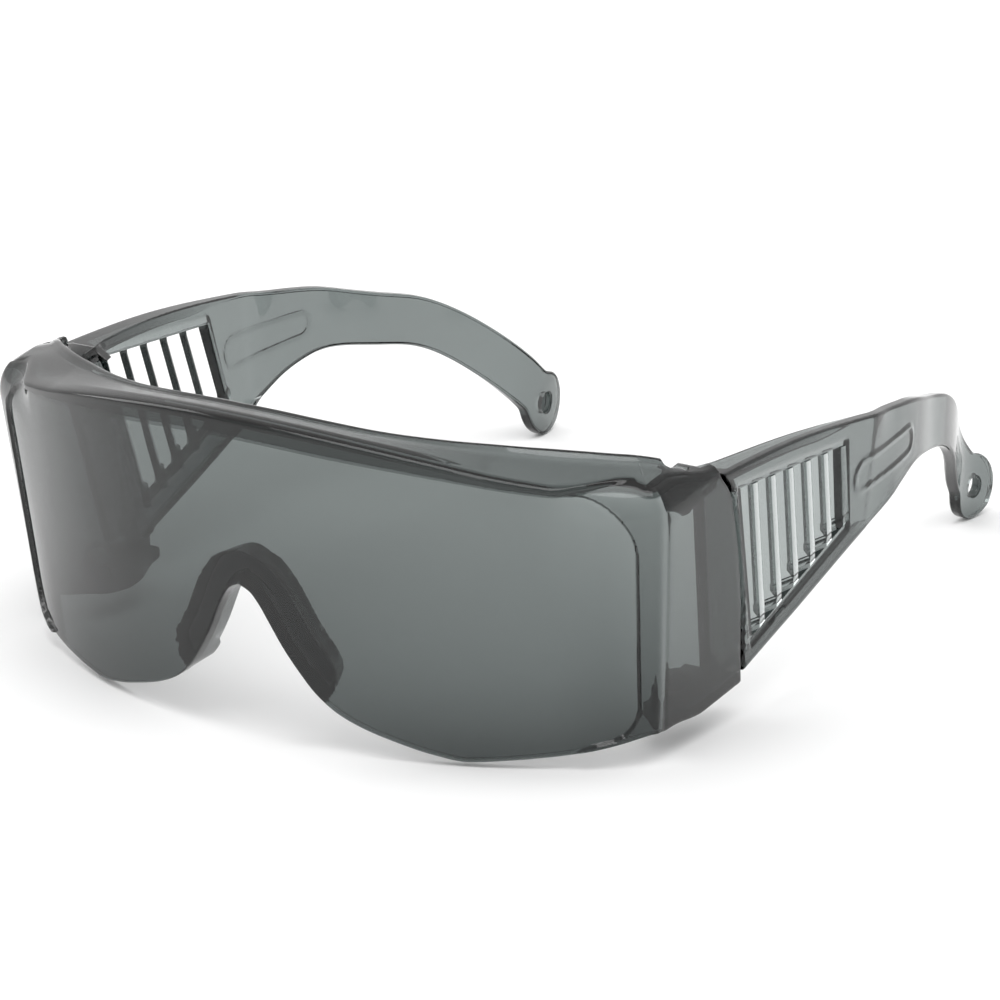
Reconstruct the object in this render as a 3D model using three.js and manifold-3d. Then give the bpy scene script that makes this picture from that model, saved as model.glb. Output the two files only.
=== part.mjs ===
// Wrap-around safety glasses that fit over spectacles: a one-piece front (curved lens, brow guard,
// two side shields, nose saddle), two temples with louvred vents, and four hinge pins.
// Millimetres, +Z up, front of the glasses towards -Y, wearer's left towards +X.
import * as THREE from 'three';
import { mergeVertices } from 'three/addons/utils/BufferGeometryUtils.js';
import Module from 'manifold-3d';

const wasm = await Module();
wasm.setup();

// ---------- driving dimensions ----------
const GAP = 0.3;                  // clearance between neighbouring regions and parts
const WALL = 2.2;                 // moulded wall thickness

// front moulding, in its own frame: x across, v rearwards, w up, tilted so the top leans forward
const TILT = THREE.MathUtils.degToRad(8);
const FRONT_Y = -87.2;            // Y of the lens face at x = 0, w = 0
const LENS_RADIUS = 100;          // plan radius of the lens outer face
const LENS_EDGE_ANGLE = THREE.MathUtils.degToRad(42.6);
const CORNER_RADIUS = 6;          // plan radius where the lens turns into the side shield
const SIDE_HEADING = THREE.MathUtils.degToRad(88.5);
const SIDE_REAR_V = 60;           // side wall is drawn past its rear edge and trimmed
const LEAN = 0.093;               // side walls lean outwards by this much per mm of height
const LEAN_LEVEL = 25;            // height at which the lean shifts nothing
const LEAN_START_V = 16;
const LEAN_END_V = 31;
const TOP_CENTRE_W = 62.8;        // domed top line of the front
const TOP_CURVE = 0.0037;
const TOP_STRAIGHT_X = 46;        // beyond this the top line runs straight down at TOP_SIDE_SLOPE
const TOP_SIDE_SLOPE = 0.3;
const BROW_THICK = 2;
const BROW_EDGE_RADIUS = 7;       // rounding of the top outer corners
const BROW_HALF_WIDTH = 73.5;
const BROW_DROOP = 0.3;           // the middle of the shelf slopes down behind the lens
const FAR_X = 80;                 // drawing limit past either side
const SADDLE_DEPTH = 7.3;         // from the lens face to the block's rear
const SADDLE_THICK = 5.8;         // band left standing round the cut-out
const SADDLE_FOOT_W = 10.8;

// hinges, in the front's frame
const PIN_X = 64.2;               // at the lean level
const PIN_V = 40;
const PIN_SHAFT_R = 1.4;
const PIN_HEAD_R = 2.3;
const PIN_FOOT_R = 2.5;
const PIN_FOOT_HEIGHT = 3.2;
const TONGUE_NOSE_R = 3.3;        // rounded front of each hinge tongue
const TONGUE_THICK = 3;
const TONGUE_CORNER = 1.4;        // bevel that clears the side wall when the temple folds
const UPPER_TONGUE_TOP = 45.2;
const LEDGE_BOTTOM = -1;
const LEDGE_THICK = 2.2;
const TONGUE_REAR_V = 46.6;
const LIP_TOP_W = 41.9;
const LOWER_TONGUE_TOP = LEDGE_BOTTOM + LEDGE_THICK + GAP + TONGUE_THICK;

// temples, in world Y and Z
const TEMPLE_X = 70;              // outer face at the lean level
const TEMPLE_WALL = 2.3;
const TEMPLE_FLANGE = 2.2;
const TEMPLE_LEAN = 0.09;
const TEMPLE_LEAN_LEVEL = 31.5;
const LIP_OFFSET = WALL + 2 * GAP;     // the lip runs inside the side shield
const ARM_START_Y = 9;
const BEND_Y = 46;                // the ear piece starts here
const EAR_STRIP_END_Y = 83.2;
const ARM_THICK = 2.4;
const TIP_X = 50.9;               // outer face of the round tip, at its centre
const TIP_RADIUS = 6.5;
const TIP_HOLE_R = 2.1;
const TIP_CENTRE = [86.4, 6.5];   // Y, Z
const TIP_FLARE_DEG = 7;          // the round tip turns outwards again
const LOUVRE_COUNT = 6;
const LOUVRE_FIRST_Y = -33.4;
const LOUVRE_PITCH = 6.2;
const LOUVRE_THICK = 1.4;
const LOUVRE_CHORD = 5.6;
const LOUVRE_ANGLE = THREE.MathUtils.degToRad(38);
const LOUVRE_RAKE = 0.27;         // each blade moves rearwards by this much per mm downwards
const LOUVRE_LEVEL = 36;

// moves the finished shape so the origin lies under the middle of its box, on the resting plane
const REST_SHIFT = [0, 1.4, 0];

// ---------- materials ----------
const smoke = new THREE.MeshStandardMaterial({
  color: 0x5a6364, roughness: 0.12, metalness: 0, transparent: true, opacity: 0.55 });
const smokeLens = new THREE.MeshStandardMaterial({
  color: 0x4a5152, roughness: 0.08, metalness: 0, transparent: true, opacity: 0.6 });
const pinDark = new THREE.MeshStandardMaterial({ color: 0x23292b, roughness: 0.3, metalness: 0 });

// ---------- small geometry helpers ----------
function toManifold(geometry) {
  const plain = geometry.clone();
  plain.deleteAttribute('normal');
  plain.deleteAttribute('uv');
  const merged = mergeVertices(plain, 1e-5);
  return new wasm.Manifold(new wasm.Mesh({
    numProp: 3,
    vertProperties: new Float32Array(merged.attributes.position.array),
    triVerts: new Uint32Array(merged.index.array),
  }));
}

function toGeometry(solid) {
  const mesh = solid.getMesh();
  const geometry = new THREE.BufferGeometry();
  geometry.setAttribute('position', new THREE.BufferAttribute(mesh.vertProperties.slice(), 3));
  geometry.setIndex(new THREE.BufferAttribute(mesh.triVerts.slice(), 1));
  return geometry;
}

// a closed outline given as [a, b] pairs, extruded from..to along the third axis
const PLANES = {
  xv: (a, b, t) => [a, b, t],
  vw: (a, b, t) => [t, a, b],
  wx: (a, b, t) => [b, t, a],
};

function prism(plane, outline, from, to) {
  const shape = new THREE.Shape(outline.map(([a, b]) => new THREE.Vector2(a, b)));
  const geometry = new THREE.ExtrudeGeometry(shape, { depth: to - from, bevelEnabled: false });
  const position = geometry.attributes.position;
  for (let i = 0; i < position.count; i += 1) {
    const place = PLANES[plane];
    position.setXYZ(i, ...place(position.getX(i), position.getY(i), position.getZ(i) + from));
  }
  return toManifold(geometry);
}

function smoothstep(value, from, to) {
  const t = THREE.MathUtils.clamp((value - from) / (to - from), 0, 1);
  return t * t * (3 - 2 * t);
}

// straight-line table lookup, for outlines given by a few stations
function interpolate(stations, at) {
  const last = stations.length - 1;
  if (at <= stations[0][0]) return stations[0][1];
  if (at >= stations[last][0]) return stations[last][1];
  const i = stations.findIndex(([a]) => a >= at);
  const [a0, b0] = stations[i - 1];
  const [a1, b1] = stations[i];
  return b0 + ((b1 - b0) * (at - a0)) / (a1 - a0);
}

// a smooth curve through 2-D points, as evenly spaced [a, b] pairs
function smoothCurve(points, count) {
  const curve = new THREE.SplineCurve(points.map(([a, b]) => new THREE.Vector2(a, b)));
  return curve.getSpacedPoints(count).map((p) => [p.x, p.y]);
}

function arcPoints(centre, radius, fromDeg, toDeg, count) {
  const points = [];
  for (let i = 0; i <= count; i += 1) {
    const angle = THREE.MathUtils.degToRad(fromDeg + ((toDeg - fromDeg) * i) / count);
    points.push([centre[0] + radius * Math.cos(angle), centre[1] + radius * Math.sin(angle)]);
  }
  return points;
}

const mirrored = (points) => points.map(([a, b]) => [-a, b]).reverse();

// ---------- front: plan curve and top line ----------
function lensPoint(angle, inset) {
  const r = LENS_RADIUS - inset;
  return [r * Math.sin(angle), LENS_RADIUS - r * Math.cos(angle)];
}

// plan of the outer face (or a parallel inner face) from the lens edge round to the side wall's rear
function sidePath(inset) {
  const points = [];
  const [edgeX, edgeV] = lensPoint(LENS_EDGE_ANGLE, 0);
  const steps = 6;
  let heading = LENS_EDGE_ANGLE;
  let x = edgeX;
  let v = edgeV;
  for (let i = 0; i <= steps; i += 1) {
    heading = LENS_EDGE_ANGLE + ((SIDE_HEADING - LENS_EDGE_ANGLE) * i) / steps;
    x = edgeX + CORNER_RADIUS * (Math.sin(heading) - Math.sin(LENS_EDGE_ANGLE));
    v = edgeV + CORNER_RADIUS * (Math.cos(LENS_EDGE_ANGLE) - Math.cos(heading));
    points.push([x - inset * Math.sin(heading), v + inset * Math.cos(heading)]);
  }
  const run = (SIDE_REAR_V - v) / Math.sin(heading);
  points.push([x + run * Math.cos(heading) - inset * Math.sin(heading), SIDE_REAR_V]);
  return points;
}

function lensPath(inset, endAngle, count) {
  const points = [];
  for (let i = 0; i <= count; i += 1) {
    points.push(lensPoint(-endAngle + (2 * endAngle * i) / count, inset));
  }
  return points;
}

function topLine(x) {
  const straight = Math.max(Math.abs(x) - TOP_STRAIGHT_X, 0);
  const inner = Math.min(Math.abs(x), TOP_STRAIGHT_X);
  return TOP_CENTRE_W - TOP_CURVE * inner * inner - TOP_SIDE_SLOPE * straight;
}

// the domed top line from right to left as [w, x], lowered by drop
function topPoints(drop) {
  const points = [];
  for (let x = FAR_X; x >= -FAR_X; x -= 4) {
    points.push([topLine(x) - drop, x]);
  }
  return points;
}

// sideways lean of the side shields, growing smoothly behind the lens
function leanAt(x, v, w) {
  return Math.sign(x) * LEAN * smoothstep(v, LEAN_START_V, LEAN_END_V) * (w - LEAN_LEVEL);
}

// front frame (x, v, w) to world
function frontToWorld(geometry) {
  const position = geometry.attributes.position;
  for (let i = 0; i < position.count; i += 1) {
    const x = position.getX(i);
    const v = position.getY(i);
    const w = position.getZ(i);
    position.setXYZ(i, x + leanAt(x, v, w),
      FRONT_Y + v * Math.cos(TILT) - w * Math.sin(TILT),
      v * Math.sin(TILT) + w * Math.cos(TILT));
  }
  return geometry;
}

const inWorld = (solid) => toManifold(frontToWorld(toGeometry(solid)));

// ---------- front: lens with nose cut-out ----------
const NOSE_HALF = [[0, 30], [2.2, 28.9], [4, 26.6], [5.6, 23.6], [8, 19], [11, 14.3], [13.8, 10.6],
  [17.5, 7.4], [22, 5], [28, 2.7], [34, 0.7], [40, -0.6], [46, -0.4]];
const LENS_FOOT_HALF = [[52, 0.2], [58, 0.9], [63, 1.9], [66.5, 3.6], [FAR_X, 12]];

function noseOutline() {
  const half = smoothCurve(NOSE_HALF, 26);
  return [...mirrored(half), ...half.slice(1)];
}

// lens front-view outline [w, x]: bottom rounded up to the sides, nose cut-out, domed top
function lensOutline() {
  const bottom = [...mirrored(LENS_FOOT_HALF), ...noseOutline(), ...LENS_FOOT_HALF];
  return [...bottom.map(([x, w]) => [w, x]), ...topPoints(BROW_THICK + 2 * GAP)];
}

function lens() {
  const end = LENS_EDGE_ANGLE - GAP / LENS_RADIUS;
  const plan = [...lensPath(0, end, 44), ...lensPath(WALL, end, 44).reverse()];
  return prism('xv', plan, -2, 66).intersect(prism('wx', lensOutline(), -1, 60));
}

// ---------- front: nose saddle, a thick band behind the cut-out ----------
function noseSaddle() {
  const inner = noseOutline().filter(([, w]) => w > SADDLE_FOOT_W);
  const offset = inner.map(([x, w], i) => {
    const a = inner[Math.max(i - 1, 0)];
    const b = inner[Math.min(i + 1, inner.length - 1)];
    const length = Math.hypot(b[0] - a[0], b[1] - a[1]);
    return [x - (SADDLE_THICK * (b[1] - a[1])) / length, w + (SADDLE_THICK * (b[0] - a[0])) / length];
  });
  const ring = [...inner, ...offset.reverse()].map(([x, w]) => [w, x]).reverse();
  const span = 0.3;
  const behindLens = [...lensPath(WALL + GAP, span, 24),
    ...lensPath(SADDLE_DEPTH, span, 24).reverse()];
  return prism('wx', ring, 0, 30).intersect(prism('xv', behindLens, 0, 40));
}

// ---------- front: brow guard ----------
const BROW_REAR_HALF = [[0, 8.2], [12, 9.1], [24, 12], [36, 17], [43, 21.6], [48, 25.6],
  [53, 30], [57.6, 34], [62, 38.4], [66, 42.6], [70, 45.6], [76, 46.6]];

function browGuard() {
  const lensFace = lensPath(0, LENS_EDGE_ANGLE, 44).slice(1, -1);
  const front = [...mirrored(sidePath(0)), ...lensFace, ...sidePath(0)];
  const halfRear = smoothCurve(BROW_REAR_HALF, 30);
  const rear = [...mirrored(halfRear), ...halfRear.slice(1)];
  const frontRegion = prism('xv', front, 30, 66);
  const rearRegion = prism('xv', [...rear, [FAR_X, -10], [-FAR_X, -10]], 30, 66);
  const top = prism('wx', roundedTop(0), -5, 62);
  const under = prism('wx', [[0, -FAR_X], [0, FAR_X], ...topPoints(BROW_THICK)], -6, 63);
  let guard = frontRegion.intersect(rearRegion).intersect(top).subtract(under);
  for (const side of [-1, 1]) {
    guard = guard.subtract(pinHole(side, PIN_HEAD_R + GAP, 30, 66));
  }
  return drooped(guard);
}

// lowers the middle of the shelf the further it lies behind the lens
function drooped(solid) {
  const geometry = toGeometry(solid);
  const position = geometry.attributes.position;
  for (let i = 0; i < position.count; i += 1) {
    const x = position.getX(i);
    const lensV = LENS_RADIUS - Math.sqrt(LENS_RADIUS * LENS_RADIUS - x * x);
    const behind = Math.max(position.getY(i) - lensV - WALL, 0);
    const fade = 1 - smoothstep(Math.abs(x), 20, 50);
    position.setZ(i, position.getZ(i) - BROW_DROOP * behind * fade);
  }
  return toManifold(geometry);
}

// front-view outline [w, x] of the whole front with its top outer corners rounded
function roundedTop(drop) {
  const slope = Math.atan(TOP_SIDE_SLOPE);
  const cornerX = BROW_HALF_WIDTH - BROW_EDGE_RADIUS;
  const cornerW = topLine(cornerX) - BROW_EDGE_RADIUS / Math.cos(slope);
  const tangentDeg = 90 - THREE.MathUtils.radToDeg(slope);
  const half = [[BROW_HALF_WIDTH, -5],
    ...arcPoints([cornerX, cornerW], BROW_EDGE_RADIUS, 0, tangentDeg, 6)];
  for (let x = cornerX - 2; x > 0; x -= 4) {
    half.push([x, topLine(x)]);
  }
  return [...half, [0, topLine(0)], ...mirrored(half)].map(([x, w]) => [w - drop, x]);
}

function pinHole(side, radius, from, to) {
  return prism('xv', arcPoints([side * PIN_X, PIN_V], radius, 0, 345, 23), from, to);
}

// ---------- front: side shields with their bottom ledges ----------
const SHIELD_REAR = [[55.2, -3], [54.6, 6], [54.4, 14], [53.4, 24], [52, 31.5], [50, 39], [46.6, 45],
  [46.6, 60]];
const LEDGE_INNER = [[66, 28.4], [63.4, 32.6], [60.2, 36], [59.6, 44], [62, 52], [63, 60]];

function sideShield() {
  const wallPlan = [...sidePath(0), ...sidePath(WALL).reverse()];
  const ledgePlan = [...sidePath(0), ...LEDGE_INNER.slice().reverse()];
  const rearEdge = SHIELD_REAR.map(([v, w]) => [v, Math.max(w, LEDGE_BOTTOM)]);
  const profile = [[20, 6], [26, 1.5], [34, LEDGE_BOTTOM], ...rearEdge, [20, 60]];
  const wall = prism('xv', wallPlan, LEDGE_BOTTOM, 60);
  const ledge = prism('xv', ledgePlan, LEDGE_BOTTOM, LEDGE_BOTTOM + LEDGE_THICK);
  const underBrow = prism('wx', roundedTop(BROW_THICK + GAP), 10, 62);
  const bounds = prism('vw', profile, 40, 90).intersect(underBrow);
  const hole = pinHole(1, PIN_HEAD_R + GAP, -5, 5);
  return wall.add(ledge).intersect(bounds).subtract(hole);
}

// ---------- hinge pins: head, shaft and rounded foot, along the leaning hinge axis ----------
function hingePin(levels) {
  const { headTop, headBottom, footTop } = levels;
  const footBottom = footTop - PIN_FOOT_HEIGHT;
  const profile = [[0, footBottom]];
  for (let i = 1; i <= 5; i += 1) {
    const angle = (Math.PI / 2) * (i / 5);
    profile.push([PIN_FOOT_R * Math.sin(angle), footBottom + 2.2 * (1 - Math.cos(angle))]);
  }
  profile.push([PIN_FOOT_R, footTop], [PIN_SHAFT_R, footTop], [PIN_SHAFT_R, headBottom],
    [PIN_HEAD_R, headBottom]);
  const domeHeight = 0.9;
  for (let i = 0; i <= 4; i += 1) {
    const angle = (Math.PI / 2) * (i / 4);
    profile.push([PIN_HEAD_R * Math.cos(angle), headTop - domeHeight * (1 - Math.sin(angle))]);
  }
  profile[profile.length - 1][0] = 0;
  const geometry = new THREE.LatheGeometry(profile.map(([r, h]) => new THREE.Vector2(r, h)), 24);
  geometry.rotateX(Math.PI / 2);
  return toManifold(geometry);
}

const UPPER_PIN = {
  headTop: topLine(PIN_X + 2) + 0.3,
  headBottom: UPPER_TONGUE_TOP + GAP,
  footTop: UPPER_TONGUE_TOP - TONGUE_THICK - GAP,
};
const LOWER_PIN = {
  headTop: -LEDGE_BOTTOM + 0.3,
  headBottom: -(LEDGE_BOTTOM + LEDGE_THICK),
  footTop: -(LOWER_TONGUE_TOP + GAP),
};

// a pin drawn along +w through the lean level, leaned and tilted into its place
function placedPin(side, levels, upsideDown) {
  let pin = hingePin(levels);
  if (upsideDown) pin = pin.rotate([180, 0, 0]);
  const leanDeg = THREE.MathUtils.radToDeg(Math.atan(LEAN));
  return pin.translate([0, 0, -LEAN_LEVEL])
    .rotate([0, side * leanDeg, 0])
    .translate([side * PIN_X, PIN_V, LEAN_LEVEL])
    .rotate([THREE.MathUtils.radToDeg(TILT), 0, 0])
    .translate([0, FRONT_Y, 0]);
}

// ---------- temples: outlines in Y and Z ----------
const TOP_EDGE = [[-60, 50.2], [-40, 50.1], [-30, 49.9], [-20, 49.4], [-10, 48.5], [0, 47.3], [9, 46.1],
  [21, 44.5], [29, 43.1], [36.5, 41.3], [46, 38.2]];
const BOTTOM_EDGE = [[-60, -1.6], [-38, 6.3], [-31, 9], [-23, 11.9], [-15, 14.7], [-8, 17.3], [0, 20.3],
  [9, 23.6], [15, 26], [23, 28.6], [31, 30.3], [38, 30.5], [46, 28.6]];
const WINDOW = [[-39.3, 45.6], [-3.4, 43.2], [0.6, 26.6], [-29.6, 14.6]];
const WINDOW_INSET = [[-38.9, 45.25], [-3.7, 42.9], [0.2, 26.8], [-29.4, 15.05]];

const edgeHeight = (edge, y) => interpolate(edge, y);

// outline [y, z] between the temple's edges, optionally inset from them
function edgeBand(fromY, toY, upper, lower) {
  const steps = Math.max(2, Math.round((toY - fromY) / 6));
  const stations = Array.from({ length: steps + 1 }, (_, i) => fromY + ((toY - fromY) * i) / steps);
  return [...stations.map((y) => [y, lower(y)]), ...stations.reverse().map((y) => [y, upper(y)])];
}

// outer face of the straight part, leaning outwards with height
const templeOuterX = (z) => TEMPLE_X + TEMPLE_LEAN * (z - TEMPLE_LEAN_LEVEL);

function leanTemple(solid) {
  const geometry = toGeometry(solid);
  const position = geometry.attributes.position;
  for (let i = 0; i < position.count; i += 1) {
    position.setX(i, position.getX(i) + templeOuterX(position.getZ(i)));
  }
  return toManifold(geometry);
}

const tilted = (solid) => solid.rotate([THREE.MathUtils.radToDeg(TILT), 0, 0]).translate([0, FRONT_Y, 0]);

// region ahead of the side shield's rear edge plus clearance, in [v, w]
function aheadOfShield(clearance) {
  return [[-20, -12], ...[[55.2, -12], ...SHIELD_REAR].map(([v, w]) => [v + clearance, w]), [-20, 60]];
}

function templePanel() {
  const top = (y) => edgeHeight(TOP_EDGE, y);
  const bottom = (y) => edgeHeight(BOTTOM_EDGE, y);
  const plate = prism('vw', edgeBand(-60, ARM_START_Y, top, bottom), -TEMPLE_WALL, 0);
  const deep = prism('vw', edgeBand(-60, ARM_START_Y, top, bottom), -5, 0);
  const ahead = tilted(prism('vw', aheadOfShield(0.4), -20, 20));
  const aheadOfJog = tilted(prism('vw', aheadOfShield(3.2), -20, 20));
  const jog = deep.subtract(ahead).intersect(aheadOfJog);
  const flangePlan = [[0, -60], [0, ARM_START_Y], [-TEMPLE_WALL, ARM_START_Y], [-3.6, -12], [-5.6, -33],
    [-8.4, -46], [-8.4, -60]];
  const topFlange = prism('xv', flangePlan, 0, 60)
    .intersect(prism('vw', edgeBand(-60, ARM_START_Y, top, (y) => top(y) - TEMPLE_FLANGE), -12, 0));
  const bottomFlange = prism('vw',
    edgeBand(-60, ARM_START_Y, (y) => bottom(y) + TEMPLE_FLANGE, bottom), -3.6, 0);
  const window = prism('vw', WINDOW, -6, 1);
  const body = plate.add(topFlange).add(bottomFlange).subtract(ahead).add(jog).subtract(window);
  return leanTemple(body).add(frontLip()).subtract(tongueSpace());
}

// the lip runs forward inside the side shield
const LIP_FRONT = [[46.2, 0.5], [46.8, 12], [44.6, 26.8], [42.5, 36], [42.2, 41.9]];

function frontLip() {
  const plan = [...sidePath(LIP_OFFSET), ...sidePath(LIP_OFFSET + TEMPLE_WALL).reverse()];
  const rear = SHIELD_REAR.slice(0, -1).map(([v, w]) => [v + 2.8, w]);
  const bottomW = LOWER_TONGUE_TOP + GAP;
  const profile = [...rear, ...LIP_FRONT.slice().reverse()];
  const levels = [[bottomW, 40], [bottomW, 90], [LIP_TOP_W, 90], [LIP_TOP_W, 40]];
  const bounds = prism('vw', profile, 40, 90).intersect(prism('wx', levels, 0, 70));
  return inWorld(prism('xv', plan, -5, 60).intersect(bounds));
}

// room for the two tongues and the pin feet
function tongueSpace() {
  const aboveV = TONGUE_REAR_V + GAP;
  const roof = LOWER_TONGUE_TOP + GAP;
  const upper = prism('vw', [[20, LIP_TOP_W], [aboveV, LIP_TOP_W], [aboveV, 62], [20, 62]], 30, 90);
  const lower = prism('vw', [[20, -6], [aboveV + 2, -6], [aboveV + 2, roof], [20, roof]], 30, 90);
  const feet = pinHole(1, PIN_FOOT_R + 0.4, -5, 55);
  return inWorld(upper.add(lower).add(feet));
}

function hingeTongue(topW, rearV) {
  const nose = arcPoints([PIN_X, PIN_V], TONGUE_NOSE_R, 180, 360, 12);
  const outline = [...nose, [PIN_X + TONGUE_NOSE_R, rearV - TONGUE_CORNER],
    [PIN_X + TONGUE_NOSE_R - TONGUE_CORNER, rearV], [PIN_X - TONGUE_NOSE_R, rearV]];
  const tongue = prism('xv', outline, topW - TONGUE_THICK, topW);
  return inWorld(tongue.subtract(pinHole(1, PIN_SHAFT_R + GAP, topW - 5, topW + 5)));
}

// ---------- temples: louvre blades in the window ----------
function louvre(index) {
  const centreY = LOUVRE_FIRST_Y + LOUVRE_PITCH * index;
  const centreU = -0.7 * TEMPLE_WALL;
  const half = LOUVRE_CHORD / 2;
  const along = [Math.sin(LOUVRE_ANGLE), Math.cos(LOUVRE_ANGLE)];
  const across = [Math.cos(LOUVRE_ANGLE), -Math.sin(LOUVRE_ANGLE)];
  const corner = (s, t) => [
    centreU + along[0] * half * s + (across[0] * LOUVRE_THICK * t) / 2,
    centreY + along[1] * half * s + (across[1] * LOUVRE_THICK * t) / 2];
  const plan = [corner(-1, 1), corner(1, 1), corner(1, -1), corner(-1, -1)].reverse();
  const blade = prism('xv', plan, 0, 60);
  const geometry = toGeometry(blade);
  const position = geometry.attributes.position;
  for (let i = 0; i < position.count; i += 1) {
    position.setY(i, position.getY(i) - LOUVRE_RAKE * (position.getZ(i) - LOUVRE_LEVEL));
  }
  return leanTemple(toManifold(geometry).intersect(prism('vw', WINDOW_INSET, -4, -0.2)));
}

// ---------- temples: arm and ear piece, lofted along a centre line ----------
const ARM_LINE = [
  // y, outer x, centre z, half height
  [9, 70, 34.85, 11.25],
  [15, 69.8, 35.6, 9.7],
  [21, 69.1, 36.2, 8.2],
  [29, 67.9, 36.4, 6.6],
  [36.5, 66, 35.2, 5.7],
  [46, 63, 32.9, 5.4],
  [54, 61.2, 31, 5.3],
  [62, 58.8, 27.4, 5.6],
  [70, 55.4, 22, 6.1],
  [78, 51.8, 15, 6.6],
  [84, 50.6, 9.2, 6.8],
];

function lineAt(y) {
  const pick = (column) => {
    const curve = new THREE.SplineCurve(ARM_LINE.map((row) => new THREE.Vector2(row[0], row[column])));
    let low = 0;
    let high = 1;
    for (let i = 0; i < 30; i += 1) {
      const mid = (low + high) / 2;
      if (curve.getPoint(mid).x < y) low = mid;
      else high = mid;
    }
    return curve.getPoint((low + high) / 2).y;
  };
  return { x: pick(1), z: pick(2), half: pick(3) };
}

// closed solid through equal-length loops of points, capped at both ends
function loft(loops) {
  const count = loops[0].length;
  const positions = loops.flat(2);
  const index = [];
  for (let k = 0; k < loops.length - 1; k += 1) {
    for (let i = 0; i < count; i += 1) {
      const a = k * count + i;
      const b = k * count + ((i + 1) % count);
      index.push(a, b + count, b, a, a + count, b + count);
    }
  }
  const last = (loops.length - 1) * count;
  for (let i = 1; i < count - 1; i += 1) {
    index.push(0, i, i + 1, last, last + i + 1, last + i);
  }
  const geometry = new THREE.BufferGeometry();
  geometry.setAttribute('position', new THREE.Float32BufferAttribute(positions, 3));
  geometry.setIndex(index);
  return toManifold(geometry);
}

// cross-section of the arm at a station: a chamfered strip standing across the path
function armSection(y) {
  const step = 0.5;
  const here = lineAt(y);
  const before = lineAt(y - step);
  const after = lineAt(y + step);
  const tangent = new THREE.Vector3(after.x - before.x, 2 * step, after.z - before.z).normalize();
  const outward = new THREE.Vector3(tangent.y, -tangent.x, 0).normalize();
  const upward = new THREE.Vector3().crossVectors(outward, tangent).normalize();
  if (y <= ARM_START_Y + GAP) {
    outward.set(1, 0, 0);
    upward.set(TEMPLE_LEAN, 0, 1);
  }
  const slope = Math.max(upward.z, 0.5);
  const half = here.half * slope;
  const chamfer = 0.5;
  const loop = [
    [0, half - chamfer], [-chamfer, half], [chamfer - ARM_THICK, half], [-ARM_THICK, half - chamfer],
    [-ARM_THICK, chamfer - half], [chamfer - ARM_THICK, -half], [-chamfer, -half], [0, chamfer - half]];
  return loop.map(([o, h]) => [
    here.x + outward.x * o + upward.x * h,
    y + outward.y * o + upward.y * h,
    here.z + outward.z * o + upward.z * h]);
}

function stripBetween(fromY, toY, count) {
  const loops = [];
  for (let i = 0; i <= count; i += 1) {
    loops.push(armSection(fromY + ((toY - fromY) * i) / count));
  }
  return loft(loops);
}

function templeArm() {
  return stripBetween(ARM_START_Y + GAP, BEND_Y - GAP, 12);
}

function earPiece() {
  const strip = stripBetween(BEND_Y, EAR_STRIP_END_Y, 14);
  const disc = prism('vw', arcPoints([0, TIP_CENTRE[1]], TIP_RADIUS, 0, 350, 35), -ARM_THICK, 0);
  const hole = prism('vw', arcPoints([0, TIP_CENTRE[1]], TIP_HOLE_R, 0, 345, 23), -10, 10);
  const placed = (solid) => solid.rotate([0, 0, -TIP_FLARE_DEG]).translate([TIP_X, TIP_CENTRE[0], 0]);
  return strip.add(placed(disc)).subtract(placed(hole));
}

// ---------- assembly ----------
const group = new THREE.Group();
group.name = 'safety_glasses';

function addPart(name, solid, material) {
  const geometry = toGeometry(solid);
  geometry.translate(...REST_SHIFT);
  geometry.computeVertexNormals();
  const mesh = new THREE.Mesh(geometry, material);
  mesh.name = name;
  group.add(mesh);
}

addPart('lens', inWorld(lens()), smokeLens);
addPart('brow_guard', inWorld(browGuard()), smoke);
addPart('nose_saddle', inWorld(noseSaddle()), smoke);

for (const [side, label] of [[1, 'left'], [-1, 'right']]) {
  const onSide = (solid) => (side > 0 ? solid : solid.mirror([1, 0, 0]));
  addPart(`${label}_side_shield`, onSide(inWorld(sideShield())), smoke);
  addPart(`${label}_upper_hinge_pin`, placedPin(side, UPPER_PIN, false), pinDark);
  addPart(`${label}_lower_hinge_pin`, placedPin(side, LOWER_PIN, true), pinDark);
  addPart(`${label}_temple_panel`, onSide(templePanel()), smoke);
  addPart(`${label}_upper_hinge_tongue`, onSide(hingeTongue(UPPER_TONGUE_TOP, TONGUE_REAR_V)), smoke);
  addPart(`${label}_lower_hinge_tongue`, onSide(hingeTongue(LOWER_TONGUE_TOP, TONGUE_REAR_V + 2)), smoke);
  for (let i = 0; i < LOUVRE_COUNT; i += 1) {
    addPart(`${label}_louvre_${i + 1}`, onSide(louvre(i)), smoke);
  }
  addPart(`${label}_temple_arm`, onSide(templeArm()), smoke);
  addPart(`${label}_ear_piece`, onSide(earPiece()), smoke);
}

export default group;
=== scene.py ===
"""Smoke-tinted over-spectacle safety glasses: a one-piece front, two folding temples, four hinge pins.

The front is drawn in its own frame: x to the wearer's left, v rearwards, w up, tilted by TILT. The temples
are drawn in the glasses' frame: x, y rearwards, z up. Lengths are millimetres until new_mesh.
"""

import math

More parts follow.
